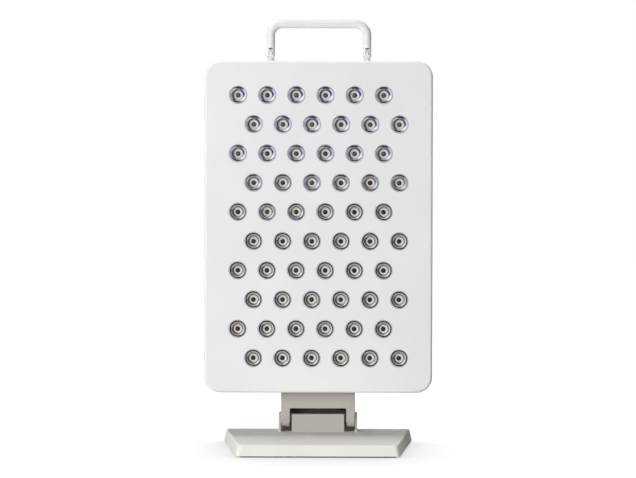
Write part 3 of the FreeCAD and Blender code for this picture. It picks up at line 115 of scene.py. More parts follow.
def add_node(graph, kind, settings=None, **sockets):
    """Adds one node; a socket given another node's output is linked, anything else is set."""
    node = graph.nodes.new(kind)
    for key, value in (settings or {}).items():
        setattr(node, key, value)
    for key, value in sockets.items():
        socket = find_socket(node, key)
        if isinstance(value, bpy.types.NodeSocket):
            graph.links.new(value, socket)
        else:
            socket.default_value = value
    return node


def new_finish(name, colour, roughness=0.5, metallic=0.0, **sockets):
    """A material with one Principled shader. Returns the material, its graph and the shader."""
    material = bpy.data.materials.new(name)
    material.use_nodes = True
    graph = material.node_tree
    graph.nodes.clear()
    shader = add_node(graph, "ShaderNodeBsdfPrincipled", Roughness=roughness, Metallic=metallic, **sockets)
    shader.inputs["Base Color"].default_value = colour
    output = add_node(graph, "ShaderNodeOutputMaterial")
    graph.links.new(shader.outputs["BSDF"], output.inputs["Surface"])
    return material, graph, shader


def place_on_object(graph, stretch=(1, 1, 1)):
    """The point's place on the object in metres, with each axis stretched."""
    where = add_node(graph, "ShaderNodeTexCoord")
    mapping = add_node(graph, "ShaderNodeMapping", Vector=where.outputs["Object"], Scale=stretch)
    return mapping.outputs["Vector"]


def grain(graph, point, size, detail=3.0, roughness=0.55):
    """Smooth noise whose spots are about `size` metres across."""
    return add_node(graph, "ShaderNodeTexNoise", Vector=point, Scale=1 / size, Detail=detail,
                    Roughness=roughness).outputs["Fac"]


def spread(graph, value, low, high, to_low, to_high):
    """Maps low..high onto to_low..to_high and holds the ends."""
    node = add_node(graph, "ShaderNodeMapRange", {"clamp": True},
                    n0=value, n1=low, n2=high, n3=to_low, n4=to_high)
    return node.outputs["Result"]


def darkened(colour, share):
    """The same colour with its light cut to `share`."""
    return tuple(channel * share for channel in colour[:3]) + (1.0,)


def blend_colours(graph, share, first, second):
    """A colour between first and second."""
    node = add_node(graph, "ShaderNodeMix", {"data_type": "RGBA"}, n0=share, n6=first, n7=second)
    return node.outputs[2]


def relief(graph, shader, height, depth, strength=1.0):
    """Tilts the surface as if `height` stood out by `depth` metres."""
    bump = add_node(graph, "ShaderNodeBump", Strength=strength, Distance=depth, Height=height)
    graph.links.new(bump.outputs["Normal"], shader.inputs["Normal"])


def multiply(graph, first, second):
    """The product of two values."""
    return add_node(graph, "ShaderNodeMath", {"operation": "MULTIPLY"}, n0=first, n1=second).outputs[0]


print("material helpers ready")

# %% [markdown]
# ## Paint
#
# The panel, neck and base are steel and cast metal with a baked powder coat:
# white, satin, with the faint ripple called orange peel. A flat colour would
# look like paper. Three noises give it life: a very wide one that shifts the
# white by a hair, a millimetre-sized one that ripples the surface, and a fine
# one that breaks up the gloss. The same recipe makes all the painted
# finishes, with coarser ripple on the castings.

# %% Powder coat
COAT_DRIFT_SIZE = 0.07
COAT_SPECKLE_SIZE = 0.0004


def powder_coat(name, colour, peel=0.0011, ripple=0.00002, gloss=0.6, drift=0.97, shine=0.15):
    """Paint: colour times a wide noise, roughness from a fine noise, relief from a ripple of size `peel`."""
    material, graph, shader = new_finish(name, colour, gloss, Specular_IOR_Level=shine)
    point = place_on_object(graph)
    wide = spread(graph, grain(graph, point, COAT_DRIFT_SIZE, 2), 0.35, 0.65, 0.0, 1.0)
    tone = blend_colours(graph, wide, darkened(colour, drift), colour)
    graph.links.new(tone, shader.inputs["Base Color"])
    speckle = spread(graph, grain(graph, point, COAT_SPECKLE_SIZE, 2), 0.3, 0.7, gloss - 0.06, gloss + 0.08)
    graph.links.new(speckle, shader.inputs["Roughness"])
    relief(graph, shader, grain(graph, point, peel, 2), ripple, 0.5)
    return material


# The castings, the neck and the hinge block, get a greyer coat that is partly painted shade: it darkens them
# for the shadow the panel casts over them.
CASTING_COAT_AND_SHADE = (srgb(179, 176, 169), 0.0017, 0.00006, 0.66, 0.955)
panel_paint = powder_coat("panel_paint", srgb(239, 238, 238))
casting_paint_and_shade = powder_coat("casting_paint_and_shade", *CASTING_COAT_AND_SHADE)
handle_paint = powder_coat("handle_paint", srgb(231, 232, 234), 0.0012, 0.00002, 0.7, shine=0.03)
post_paint = powder_coat("post_paint", srgb(222, 223, 225), 0.0012, 0.00002, 0.7, shine=0.03)
print("paints", [paint.name for paint in (panel_paint, casting_paint_and_shade, handle_paint, post_paint)])

# %% [markdown]
# ## Painted shade that changes by place
#
# Some shade is painted into the colour, in the places where it falls. The base
# is white, but its hinge ears and the web behind the knuckles are painted
# greyer as shade, and darker still under the knuckles, where little light gets
# in. The neck is grey outside, in the casting coat, and inside its slot the
# colour is painted nearly black as shade, and so are the narrow slots in the
# handle's legs. A second material slot could do this, but the CAD meshes must
# stay as they are, so a mask reads the point's place and blends between two
# colours. The mask is a soft box: nought outside, one inside.

# %% Masks by place
def inside_box(graph, low, high, soft=0.0003):
    """One inside the box from low to high in metres, nought outside, softened over `soft` metres."""
    axes = add_node(graph, "ShaderNodeSeparateXYZ", Vector=place_on_object(graph))
    share = None
    for axis, (least, most) in enumerate(zip(low, high)):
        for limit, to_low, to_high in ((least, 0.0, 1.0), (most, 1.0, 0.0)):
            step = spread(graph, axes.outputs[axis], limit - soft / 2, limit + soft / 2, to_low, to_high)
            share = step if share is None else multiply(graph, share, step)
    return share


def repaint(material, share, colour):
    """Blends the material's colour towards another one where `share` is one."""
    graph = material.node_tree
    target = next(n for n in graph.nodes if n.type == "BSDF_PRINCIPLED").inputs["Base Color"]
    before = target.links[0].from_socket
    graph.links.new(blend_colours(graph, share, before, colour), target)


# Boxes in metres where shade is painted into the colour.
EARS_SHADE_BOX = ((-0.04, 0.036, 0.0128), (0.04, 0.0605, 0.04))
KNUCKLE_SHADOW_BOX = ((-0.0345, 0.0505, 0.0112), (0.0345, 0.0582, 0.0195))
NECK_SLOT_SHADOW_BOX = ((-0.0268, 0.0386, 0.0), (0.0268, 0.0522, 0.0343))
HANDLE_LEG_X = 0.045
LEG_SLOT_HALF_WIDTH = 0.0019
LEG_SLOT_BOTTOM, LEG_SLOT_TOP = 0.361, 0.3706

stand_paint = powder_coat("stand_paint", srgb(236, 235, 230), 0.0014, 0.00004, 0.64)
# Painted shade: the ears and the web behind the knuckles are painted greyer, for the shade they stand in.
repaint(stand_paint, inside_box(stand_paint.node_tree, *EARS_SHADE_BOX), srgb(180, 177, 170))
# Painted shade: darker still under the knuckles, where little light gets in.
repaint(stand_paint, inside_box(stand_paint.node_tree, *KNUCKLE_SHADOW_BOX, 0.001), srgb(116, 113, 107))
neck_paint = powder_coat("neck_paint", *CASTING_COAT_AND_SHADE)
# Painted shade: inside the neck's slot the colour is nearly black, for the shade there.
repaint(neck_paint, inside_box(neck_paint.node_tree, *NECK_SLOT_SHADOW_BOX), srgb(60, 58, 56))
# Painted shade: the narrow slots in the handle's legs are darkened where shade falls in them.
for leg in (-HANDLE_LEG_X, HANDLE_LEG_X):
    slot_low = (leg - LEG_SLOT_HALF_WIDTH, 0, LEG_SLOT_BOTTOM)
    slot_high = (leg + LEG_SLOT_HALF_WIDTH, 0.06, LEG_SLOT_TOP)
    repaint(handle_paint, inside_box(handle_paint.node_tree, slot_low, slot_high, 0.0001), srgb(96, 95, 94))
print("masked paints", stand_paint.name, neck_paint.name, handle_paint.name)

# %% [markdown]
# ## Metals
#
# Screws and pins are zinc-plated, the weight plate is blackened, the heat
# sink is bare aluminium with saw marks, and the fan guards are chromed wire.
# Metal gets its look from what it mirrors, so the useful controls are
# roughness and fine scratches: noise stretched a hundredfold along one axis
# reads as brushing.

# %% Metals
def brushed_metal(name, colour, gloss=0.3, stretch=(1, 1, 1), size=0.0006, depth=0.000008):
    """Bare metal: noise stretched along one axis moves the gloss and cuts fine scratches."""
    material, graph, shader = new_finish(name, colour, gloss, 1.0)
    point = place_on_object(graph, stretch)
    lines = grain(graph, point, size, 4, 0.6)
    tone = blend_colours(graph, grain(graph, point, size * 12, 2), darkened(colour, 0.86), colour)
    graph.links.new(tone, shader.inputs["Base Color"])
    graph.links.new(spread(graph, lines, 0.3, 0.7, gloss - 0.08, gloss + 0.12), shader.inputs["Roughness"])
    relief(graph, shader, lines, depth, 0.6)
    return material


steel = brushed_metal("steel", srgb(196, 197, 200), 0.28)
dark_steel = brushed_metal("dark_steel", srgb(66, 66, 70), 0.45, size=0.001)
sink_aluminium = brushed_metal("sink_aluminium", srgb(205, 207, 210), 0.38, (1, 1, 0.04))
tray_aluminium = brushed_metal("tray_aluminium", srgb(190, 192, 195), 0.42, (0.05, 1, 1))
guard_chrome = brushed_metal("guard_chrome", srgb(214, 216, 219), 0.14, size=0.0009, depth=0.000003)
contact_brass = brushed_metal("contact_brass", srgb(205, 200, 186), 0.25)
print("metals ready")

# %% [markdown]
# ## Plastics and rubber
#
# Moulded plastic has a fine spark-eroded texture, so its gloss is broken but
# even. Rubber is the same idea, rougher. Both use one recipe.

# %% Plastics and rubber
def moulded(name, colour, gloss=0.4, size=0.0005, depth=0.00002, drift=0.85):
    """Moulded surface: tone drifts with a wide noise, gloss and relief follow a fine one."""
    material, graph, shader = new_finish(name, colour, gloss)
    point = place_on_object(graph)
    tone = blend_colours(graph, grain(graph, point, 0.02, 3), darkened(colour, drift), colour)
    graph.links.new(tone, shader.inputs["Base Color"])
    fine = grain(graph, point, size, 3)
    graph.links.new(spread(graph, fine, 0.3, 0.7, gloss - 0.07, gloss + 0.1), shader.inputs["Roughness"])
    relief(graph, shader, fine, depth, 0.5)
    return material


black_plastic = moulded("black_plastic", srgb(34, 34, 36), 0.42)
fan_plastic = moulded("fan_plastic", srgb(28, 28, 30), 0.36, 0.0008)
black_rocker = moulded("black_rocker", srgb(24, 24, 26), 0.22, 0.0007, 0.000006)
red_rocker = moulded("red_rocker", srgb(196, 28, 24), 0.2, 0.0007, 0.000006, 0.9)
pad_rubber = moulded("pad_rubber", srgb(30, 30, 31), 0.72, 0.0009, 0.00008)
# The friction washers are darkened partly as painted shade, for the narrow gaps beside the hinge block where
# they sit.
friction_disc = moulded("friction_disc", srgb(78, 72, 62), 0.5, 0.0007, 0.00003)
board_face = moulded("board_face", srgb(232, 233, 230), 0.35, 0.001, 0.00001, 0.96)
board_green = moulded("board_green", srgb(28, 84, 52), 0.35, 0.001, 0.00001)
component_plastic = moulded("component_plastic", srgb(52, 54, 60), 0.35)
wire_sleeve = moulded("wire_sleeve", srgb(150, 36, 32), 0.4)
dark_cup = moulded("dark_cup", srgb(40, 39, 42), 0.3, 0.0008, 0.00001)
print("plastics ready")

# %% [markdown]
# ## Marks on the rockers
#
# Each rocker has the usual stroke for on and ring for off, printed in pale
# ink. Thin raised pieces could be cut for them, but ink has no height, so the
# marks are part of the finish: a ring is where the distance from its middle
# is near its radius, and a stroke is a narrow box.

# %% Ink marks
SWITCH_HEIGHT = 0.084
MARK_INK = srgb(226, 226, 222)
STROKE_HALF_WIDTH = 0.0003
STROKE_BOTTOM, STROKE_TOP = SWITCH_HEIGHT + 0.0032, SWITCH_HEIGHT + 0.0066
RING_HEIGHT = SWITCH_HEIGHT - 0.0048
RING_INSIDE, RING_OUTSIDE, INK_EDGE = 0.0013, 0.0018, 0.00005


def stroke_mark(graph, x):
    """A narrow upright box at `x` metres from the lamp's middle."""
    low, high = (x - STROKE_HALF_WIDTH, 0, STROKE_BOTTOM), (x + STROKE_HALF_WIDTH, 1, STROKE_TOP)
    return inside_box(graph, low, high, 2 * INK_EDGE)


def ring_mark(graph, x):
    """One where the distance from the ring's middle, seen along Y, is between its two radii."""
    offset = add_node(graph, "ShaderNodeVectorMath", {"operation": "SUBTRACT"},
                      n0=place_on_object(graph), n1=(x, 0, RING_HEIGHT)).outputs[0]
    flat = add_node(graph, "ShaderNodeVectorMath", {"operation": "MULTIPLY"},
                    n0=offset, n1=(1, 0, 1)).outputs[0]
    reach = add_node(graph, "ShaderNodeVectorMath", {"operation": "LENGTH"}, n0=flat).outputs["Value"]
    inner = spread(graph, reach, RING_INSIDE - INK_EDGE, RING_INSIDE + INK_EDGE, 0.0, 1.0)
    outer = spread(graph, reach, RING_OUTSIDE - INK_EDGE, RING_OUTSIDE + INK_EDGE, 1.0, 0.0)
    return multiply(graph, inner, outer)


def on_off_marks(material, x):
    """A stroke above the rocker's middle and a ring below it, both at `x` metres from the lamp's middle."""
    repaint(material, stroke_mark(material.node_tree, x), MARK_INK)
    repaint(material, ring_mark(material.node_tree, x), MARK_INK)


on_off_marks(red_rocker, -0.072)
on_off_marks(black_rocker, -0.050)
print("rockers marked")

# %% [markdown]
# ## Skins over sections
#
# Every new piece below is a skin stretched over sections: closed rings of
# points, one after another. A lens is a stack of circles, a fan blade a row
# of thin wing shapes. One helper joins each ring to the next, closes both
# ends and makes sure the faces look outwards, which it knows from the volume:
# faces that look inwards give a volume below nought.

# %% Mesh from sections
SHARP_ANGLE = math.radians(48)


def skin(name, sections):
    """Closed meshes over points[piece, section, around].

    Quads join neighbouring sections, and one face caps each end.
    """
    pieces, count, around = sections.shape[:3]
    index = np.arange(pieces * count * around).reshape(pieces, count, around)
    onward = np.roll(index, -1, axis=2)
    quads = np.stack([index[:, :-1], index[:, 1:], onward[:, 1:], onward[:, :-1]], -1).reshape(-1, 4)
    points = sections.reshape(-1, 3)
    caps = np.concatenate([index[:, 0], index[:, -1, ::-1]])
    corners = [points[quads[:, k]] for k in range(4)]
    volume = sum(np.einsum("ij,ij->", corners[0], np.cross(corners[k], corners[k + 1])) for k in (1, 2))
    if volume < 0:
        quads, caps = quads[:, ::-1], caps[:, ::-1]
    mesh = bpy.data.meshes.new(name)
    mesh.from_pydata(points.tolist(), [], quads.tolist() + caps.tolist())
    mesh.polygons.foreach_set("use_smooth", np.ones(len(mesh.polygons), bool))
    mesh.set_sharp_from_angle(angle=SHARP_ANGLE)
    piece = bpy.data.objects.new(name, mesh)
    bpy.context.scene.collection.objects.link(piece)
    return piece


def turned(profile, centres, steps=36):
    """Rings round an axis along Y, one for each (radius, depth) of the profile, in metres.

    A ring's points lie at centre + (radius cos t, depth, radius sin t).
    """
    turn = np.linspace(0, 2 * np.pi, steps, endpoint=False)
    radius, depth = np.array(profile, float).T
    ring = np.stack([np.outer(radius, np.cos(turn)), np.repeat(depth[:, None], steps, 1),
                     np.outer(radius, np.sin(turn))], -1)
    return np.asarray(centres, float)[:, None, None, :] + ring[None]


print("skin and turned ready")

# %% [markdown]
# ## The lenses
#
# Sixty clear lenses are what the eye meets first. Light enters each one,
# bounces off the tapered body behind it and comes back out, so a lens shows a
# lavender rim, dark crescents, thin rings and the small diode in the middle,
# and the rings change from the top rows, seen from below, to the bottom rows.
# True glass could do this, but it mirrors whatever stands before it and needs
# hundreds of samples to settle. Here each lens is opaque: a stepped bowl with a
# true rim and a small dome for the diode, and its rim, crescents, rings and
# glints are painted on as painted reflections and painted highlights, in one
# fixed look that does not change as the eye moves round the lamp.
#
# First the shape. The profile runs from the middle of the diode outwards over
# the steps and the rim, then down the tapered body to its back.

# %% Shape of a lens
MM = 0.001
LENS_RADIUS = 8.1 * MM
LENS_PITCH_X = 26.8 * MM
LENS_ROWS, LENS_COLUMNS = 10, 6
LENS_STEPS = (
    (0.05, 2.45), (0.7, 2.5), (1.4, 2.75), (1.9, 3.1), (2.15, 3.45), (2.4, 3.55), (3.0, 3.5),
    (3.6, 3.25), (3.85, 2.95), (4.1, 2.65), (4.6, 2.45), (4.9, 2.35), (5.2, 2.0), (5.7, 1.6),
    (5.95, 1.35), (6.3, 1.2), (6.55, 0.95), (6.8, 0.6), (7.05, 0.3), (7.3, 0.12), (7.55, 0.05),
    (7.8, 0.0), (7.98, 0.1), (8.08, 0.3), (8.1, 1.3), (7.2, 1.5), (4.5, 8.6), (0.05, 8.8))

lens_low, lens_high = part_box("lenses")
lens_rows = np.arange(LENS_ROWS)
row_height = (lens_high[2] - lens_low[2] - 2 * LENS_RADIUS) / (LENS_ROWS - 1)
last_start = lens_high[0] - LENS_RADIUS - (LENS_COLUMNS - 1) * LENS_PITCH_X
row_start = np.where(lens_rows % 2 == 0, lens_low[0] + LENS_RADIUS, last_start)
lens_x = row_start[:, None] + LENS_PITCH_X * np.arange(LENS_COLUMNS)
lens_z = np.repeat((lens_high[2] - LENS_RADIUS - row_height * lens_rows)[:, None], LENS_COLUMNS, 1)
lens_centres = np.stack([lens_x, np.full_like(lens_x, lens_low[1]), lens_z], -1).reshape(-1, 3)
lens_points = turned(np.array(LENS_STEPS) * MM, lens_centres)
lens_faces = skin("lens_faces", lens_points)
print("lenses", len(lens_centres), "faces", len(lens_faces.data.polygons))

# %% [markdown]
# Next the tones. The strokes paint the light of the lens: the lavender rim, the
# pale rings and the dark crescents are painted reflections, the near-white
# strokes are painted highlights, and only the dot in the middle is the diode's
# own colour. They could be nodes, but two tables of strokes are easier to
# read: each stroke is a soft arc with a colour, the radius of its middle and
# its half width as shares of the lens, its direction and half length in
# degrees, and a strength. One table is for the top rows, one for the bottom
# rows, and a lens in between is a mixture. Each lens is turned a little, so
# that no two are the same.

# %% Tones of the lenses
TOP_ROW_REFLECTIONS_AND_DIODE = (
    ((204, 203, 202), 0.0, 0.6, 0, 180, 1.0),
    ((176, 175, 180), 0.68, 0.11, 0, 180, 1.0),
    ((208, 208, 226), 0.92, 0.13, 0, 180, 1.0),
    ((34, 32, 40), 0.6, 0.075, 172, 58, 1.0),
    ((70, 68, 78), 0.58, 0.04, 100, 60, 0.9),
    ((40, 40, 68), 0.64, 0.09, 22, 42, 1.0),
    ((40, 38, 44), 0.86, 0.08, 94, 34, 1.0),
    ((140, 139, 146), 0.72, 0.03, 96, 50, 0.8),
    ((12, 10, 14), 0.8, 0.075, 266, 34, 1.0),
    # Painted highlights: two near-white glints, upper left and lower right.
    ((252, 252, 254), 0.8, 0.06, 134, 12, 1.0),
    ((250, 250, 252), 0.72, 0.07, 320, 18, 0.9),
    ((140, 140, 164), 1.0, 0.035, 0, 180, 0.6),
    ((46, 42, 34), 0.0, 0.26, 0, 180, 1.0),
    ((112, 104, 84), 0.0, 0.09, 0, 180, 0.8),
)
BOTTOM_ROW_REFLECTIONS_AND_DIODE = (
    ((150, 147, 145), 0.0, 1.0, 0, 180, 1.0),
    ((216, 212, 206), 0.36, 0.1, 0, 180, 1.0),
    ((204, 201, 197), 0.74, 0.045, 330, 130, 0.9),
    ((84, 81, 84), 0.62, 0.025, 0, 180, 0.75),
    ((54, 52, 57), 0.51, 0.045, 195, 56, 0.95),
    ((26, 24, 28), 0.88, 0.055, 0, 180, 1.0),
    ((20, 18, 22), 0.86, 0.08, 215, 60, 1.0),
    ((20, 18, 22), 0.87, 0.075, 90, 34, 0.9),
    ((206, 206, 220), 1.0, 0.045, 0, 180, 0.9),
    ((206, 206, 224), 1.0, 0.085, 205, 50, 0.9),
    # Painted highlights: two near-white glints, upper left and lower right.
    ((246, 246, 248), 0.7, 0.05, 136, 12, 0.8),
    ((246, 246, 248), 0.7, 0.05, 312, 12, 0.8),
    ((26, 24, 24), 0.0, 0.26, 0, 180, 1.0),
    ((88, 80, 72), 0.0, 0.06, 0, 180, 0.6),
)
STROKE_SOFT = 0.03
ARC_SOFT = math.radians(22)


def fade(value):
    """Smooth step from nought to one: 3v squared less 2v cubed, with v held between nought and one."""
    held = np.clip(value, 0, 1)
    return held * held * (3 - 2 * held)


def painted_stroke_tones(strokes, reach, turn):
    """Colour at each point: every stroke covers the ones before it by its strength times its soft arc."""
    tone = np.zeros(reach.shape + (3,))
    for colour, middle, half, direction, half_turn, strength in strokes:
        off = np.abs((turn - math.radians(direction) + np.pi) % (2 * np.pi) - np.pi)
        share = strength * (1 - fade((np.abs(reach - middle) - half) / STROKE_SOFT))
        if half_turn < 180:
            share = share * (1 - fade((off - math.radians(half_turn)) / ARC_SOFT))
        tone += share[..., None] * (np.array(srgb(*colour)[:3]) - tone)
    return tone


print("strokes", len(TOP_ROW_REFLECTIONS_AND_DIODE), "for the top rows,", len(BOTTOM_ROW_REFLECTIONS_AND_DIODE), "for the bottom rows")

# %% [markdown]
# The strokes, painted reflections and highlights, are laid over the points of
# all sixty lenses at once. The tone goes into a colour attribute, one colour
# for each point, and about a third of the lenses get a red diode, which a
# camera sees as a maroon dot.

# %% Lay the tones on the lenses
LENS_SEED = 7
TURN_SPREAD, ROW_SPREAD = 0.16, 0.05
TOP_ROWS_END, MIXED_ROWS = 0.1, 0.45
RED_SHARE, DIODE_REACH = 0.3, 0.26
RED_LOSS = np.array([0.0, 0.55, 0.5])

chance = np.random.default_rng(LENS_SEED)
offsets = lens_points - lens_centres[:, None, None, :]
reach = np.hypot(offsets[..., 0], offsets[..., 2]) / LENS_RADIUS
twist = chance.normal(0, TURN_SPREAD, len(lens_centres))[:, None, None]
turn = np.arctan2(offsets[..., 2], offsets[..., 0]) + twist
row_share = np.repeat(lens_rows / (LENS_ROWS - 1), LENS_COLUMNS)
lowness = row_share + chance.normal(0, ROW_SPREAD, len(lens_centres))
lowness = fade((lowness - TOP_ROWS_END) / MIXED_ROWS)[:, None, None, None]
top_tones = painted_stroke_tones(TOP_ROW_REFLECTIONS_AND_DIODE, reach, turn)
bottom_tones = painted_stroke_tones(BOTTOM_ROW_REFLECTIONS_AND_DIODE, reach, turn)
tones = (1 - lowness) * top_tones + lowness * bottom_tones
is_red = chance.choice([0.0, 1.0], len(lens_centres), p=[1 - RED_SHARE, RED_SHARE])[:, None, None]
tones = tones * (1 - (is_red * (reach < DIODE_REACH))[..., None] * RED_LOSS)
layer = lens_faces.data.color_attributes.new("tone", "FLOAT_COLOR", "POINT")
opaque = np.ones(tones.shape[:3] + (1,))
layer.data.foreach_set("color", np.concatenate([tones, opaque], -1).ravel().astype(np.float32))
print("lens tones from", round(float(tones.min()), 3), "to", round(float(tones.max()), 3))

# %% [markdown]
# Last the finish: polished acrylic, which mirrors the lamps as small glints,
# with the faint flow marks of moulding in its gloss and its surface.

# %% Finish of the lenses
LENS_SHINE = 0.12
clear_lens, lens_graph, lens_shader = new_finish("clear_lens", srgb(220, 220, 228), 0.12,
                                                 Specular_IOR_Level=LENS_SHINE)
lens_place = place_on_object(lens_graph)
lens_tone = add_node(lens_graph, "ShaderNodeAttribute", {"attribute_name": "tone"}).outputs["Color"]
haze = spread(lens_graph, grain(lens_graph, lens_place, 0.004, 2), 0.35, 0.65, 0.0, 0.06)
hazed_tone = blend_colours(lens_graph, haze, lens_tone, srgb(190, 190, 196))
lens_graph.links.new(hazed_tone, lens_shader.inputs["Base Color"])
flow = grain(lens_graph, lens_place, 0.0015, 2)
lens_graph.links.new(spread(lens_graph, flow, 0.3, 0.7, 0.08, 0.2), lens_shader.inputs["Roughness"])
relief(lens_graph, lens_shader, flow, 0.00003, 0.3)
lens_faces.data.materials.append(clear_lens)
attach(lens_faces, "head")
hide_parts("lenses")
diode = moulded("diode", srgb(86, 84, 66), 0.25, 0.0006, 0.00001, 0.6)
print("lenses dressed")

# %% [markdown]
# ## The fan rotors
#
# A fan blade is a thin wing: it twists from the hub to the tip, sweeps
# forward and bows a little. The CAD blades are flat plates of the same size,
# good for weight and clearance. A blade is a row of closed wing sections, so
# the same skin helper makes it. The hub is turned: a cup over the bearing tube,
# with the shaft in its middle.

# %% Rotor hub
HUB_RADIUS, HUB_WALL = 15.5 * MM, 1.6 * MM
HUB_STEPS = 64
SHAFT_RADIUS, SHAFT_REACH = 1.5 * MM, 0.8 * MM
POLE = 0.05 * MM


def rotor_hub(middle, shaft_end, front, back):
    """Rings along the shaft, over the inside of the cup and back over its rounded outside."""
    ceiling, inside = back - HUB_WALL, HUB_RADIUS - HUB_WALL
    cup = [(POLE, shaft_end), (SHAFT_RADIUS, shaft_end), (SHAFT_RADIUS, ceiling), (inside, ceiling),
           (inside, front), (HUB_RADIUS, front), (HUB_RADIUS, back - 1.2 * MM),
           (HUB_RADIUS - 0.1 * MM, back - 0.7 * MM), (HUB_RADIUS - 0.5 * MM, back - 0.2 * MM),
           (HUB_RADIUS - 1.2 * MM, back), (POLE, back)]
    return turned(cup, [middle], HUB_STEPS)


print("hub radius", HUB_RADIUS, "wall", HUB_WALL)

# %% Rotor blades
BLADES = 7
SPAN_STEPS, CHORD_STEPS = 14, 12
BLADE_REACH, BLADE_SINK = 36.6 * MM, 0.6 * MM
ROOT_CHORD, CHORD_GROWTH = 15.5, 5.5
BLADE_SWEEP, SWEEP_POWER = 0.34, 1.6
ROOT_PITCH, PITCH_LOSS = 7.6, 2.6
BLADE_BOW, ROOT_BOW = 0.9 * MM, 0.4
HALF_THICKNESS, EDGE_FULLNESS = 0.45 * MM, 1.02
BLADE_MARGIN = 0.4 * MM


def rotor_blades(middle, front, back):
    """Wing sections for each blade, from its root in the hub to its tip.

    With s from nought at the root to one at the tip, and c from -1/2 to 1/2 across the blade, a point lies
    at angle = start + sweep times s to a power + chord c / radius, and at depth = pitch c + bow (1 - 4 c
    squared), plus or minus half the thickness, which thins towards both edges. Chord and pitch are given
    in millimetres.
    """
    along = np.linspace(0, 1, SPAN_STEPS)[None, :, None]
    chord = np.linspace(-0.5, 0.5, CHORD_STEPS)
    across = np.concatenate([chord, chord[::-1]])[None, None, :]
    side = np.repeat([1, -1], CHORD_STEPS)[None, None, :]
    side = side * np.sqrt(np.clip(EDGE_FULLNESS - 4 * across**2, 0, 1))
    start = (np.arange(BLADES) * 2 * np.pi / BLADES)[:, None, None]
    radius = HUB_RADIUS - BLADE_SINK + along * (BLADE_REACH - HUB_RADIUS + BLADE_SINK) + 0 * across
    width = (ROOT_CHORD + CHORD_GROWTH * along) * MM
    angle = start + BLADE_SWEEP * along**SWEEP_POWER + across * width / radius
    pitch = (ROOT_PITCH - PITCH_LOSS * along) * MM * across
    bow = BLADE_BOW * (1 - 4 * across**2) * (ROOT_BOW + along)
    depth = (front + back) / 2 + pitch + bow + side * HALF_THICKNESS
    depth = np.clip(depth, front + BLADE_MARGIN, back - BLADE_MARGIN) + 0 * angle
    return np.stack([middle[0] + radius * np.cos(angle), depth, middle[2] + radius * np.sin(angle)], -1)


print("blades", BLADES, "out to", BLADE_REACH)

# %% Both rotors
def fan_rotor(name):
    """Hub and blades round the axis of the joint that turns the rotor, in place of its CAD node."""
    low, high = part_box(name)
    axis = next(joint for joint in frame["joints"] if joint["child"] == name)["pos_m"]
    middle = np.array([axis[0], 0, axis[2]])
    front, back = low[1] + SHAFT_REACH, high[1]
    parts = [skin(name + "_hub", rotor_hub(middle, low[1], front, back)),
             skin(name + "_blades", rotor_blades(middle, front, back))]
    for part in parts:
        part.data.materials.append(fan_plastic)
        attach(part, name)
        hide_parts(name)
    return parts


for rotor in ("fan_rotor_upper", "fan_rotor_lower"):
    made = fan_rotor(rotor)
    print(rotor, [len(part.data.polygons) for part in made])

# %% [markdown]
# ## Giving each CAD part its finish
#
# A CAD part keeps its mesh, and only the material in its slot is changed.

# %% Assign finishes to CAD parts
FINISHES = (
    (panel_paint, ["front_panel", "rear_housing"]),
    (stand_paint, ["base_cover"]),
    (neck_paint, ["neck"]),
    (casting_paint_and_shade, ["hinge_block"]),
    (handle_paint, ["handle"]),
    (post_paint, ["handle_posts"]),
    (steel, ["base_screws", "block_screws", "hinge_pin", "neck_backing_plate", "case_screws",
             "board_screws", "standoffs", "rear_screws", "fan_screws", "fan_nuts", "supply_screws",
             "handle_pins", "post_nuts"]),
    (dark_steel, ["base_weight", "neck_bolts"]),
    (pad_rubber, ["base_pad"]),
    (friction_disc, ["friction_washers"]),
    (dark_cup, ["lens_holders"]),
    (diode, ["led_chips"]),
    (board_face, ["led_board"]),
    (sink_aluminium, ["heatsink"]),
    (tray_aluminium, ["supply_tray"]),
    (guard_chrome, ["fan_guards"]),
    (contact_brass, ["inlet_pins"]),
    (black_plastic, ["power_inlet", "switch_housings"]),
    (fan_plastic, ["fan_frames"]),
    (red_rocker, ["rocker_red"]),
    (black_rocker, ["rocker_infrared"]),
    (board_green, ["supply_board"]),
    (component_plastic, ["supply_parts"]),
    (wire_sleeve, ["wiring"]),
)
dressed = set()
for finish, names in FINISHES:
    for name in names:
        for material_slot in frame["nodes"][name].material_slots:
            material_slot.material = finish
        dressed.add(name)
print("dressed", len(dressed), "replaced by pieces", sorted(set(frame["nodes"]) - dressed))

# %% [markdown]
# ## Floor and room
#
# The lamp stands on a white table in a white room. To the camera, in mirrors
# and through glass the floor glows nearly white, so that it reads as white
# paper, and to light it is a plain grey that bounces a little up to the base.
# A glow hides shadows, so two soft shades are put back: Ambient Occlusion
# darkens the floor where the lamp closes it off from above, and a wide faint
# band lies in front of the base. The room is white to the camera, and dim as a
# light, so that the lamps give the shapes.

# %% Floor
def seen_directly(graph):
    """One for rays from the camera, from mirrors and through glass, and nought for light."""
    path = add_node(graph, "ShaderNodeLightPath")
    total = add_node(graph, "ShaderNodeMath", {"operation": "MAXIMUM"}, n0=path.outputs["Is Camera Ray"],
                     n1=path.outputs["Is Glossy Ray"]).outputs[0]
    return add_node(graph, "ShaderNodeMath", {"operation": "MAXIMUM"}, n0=total,
                    n1=path.outputs["Is Transmission Ray"]).outputs[0]


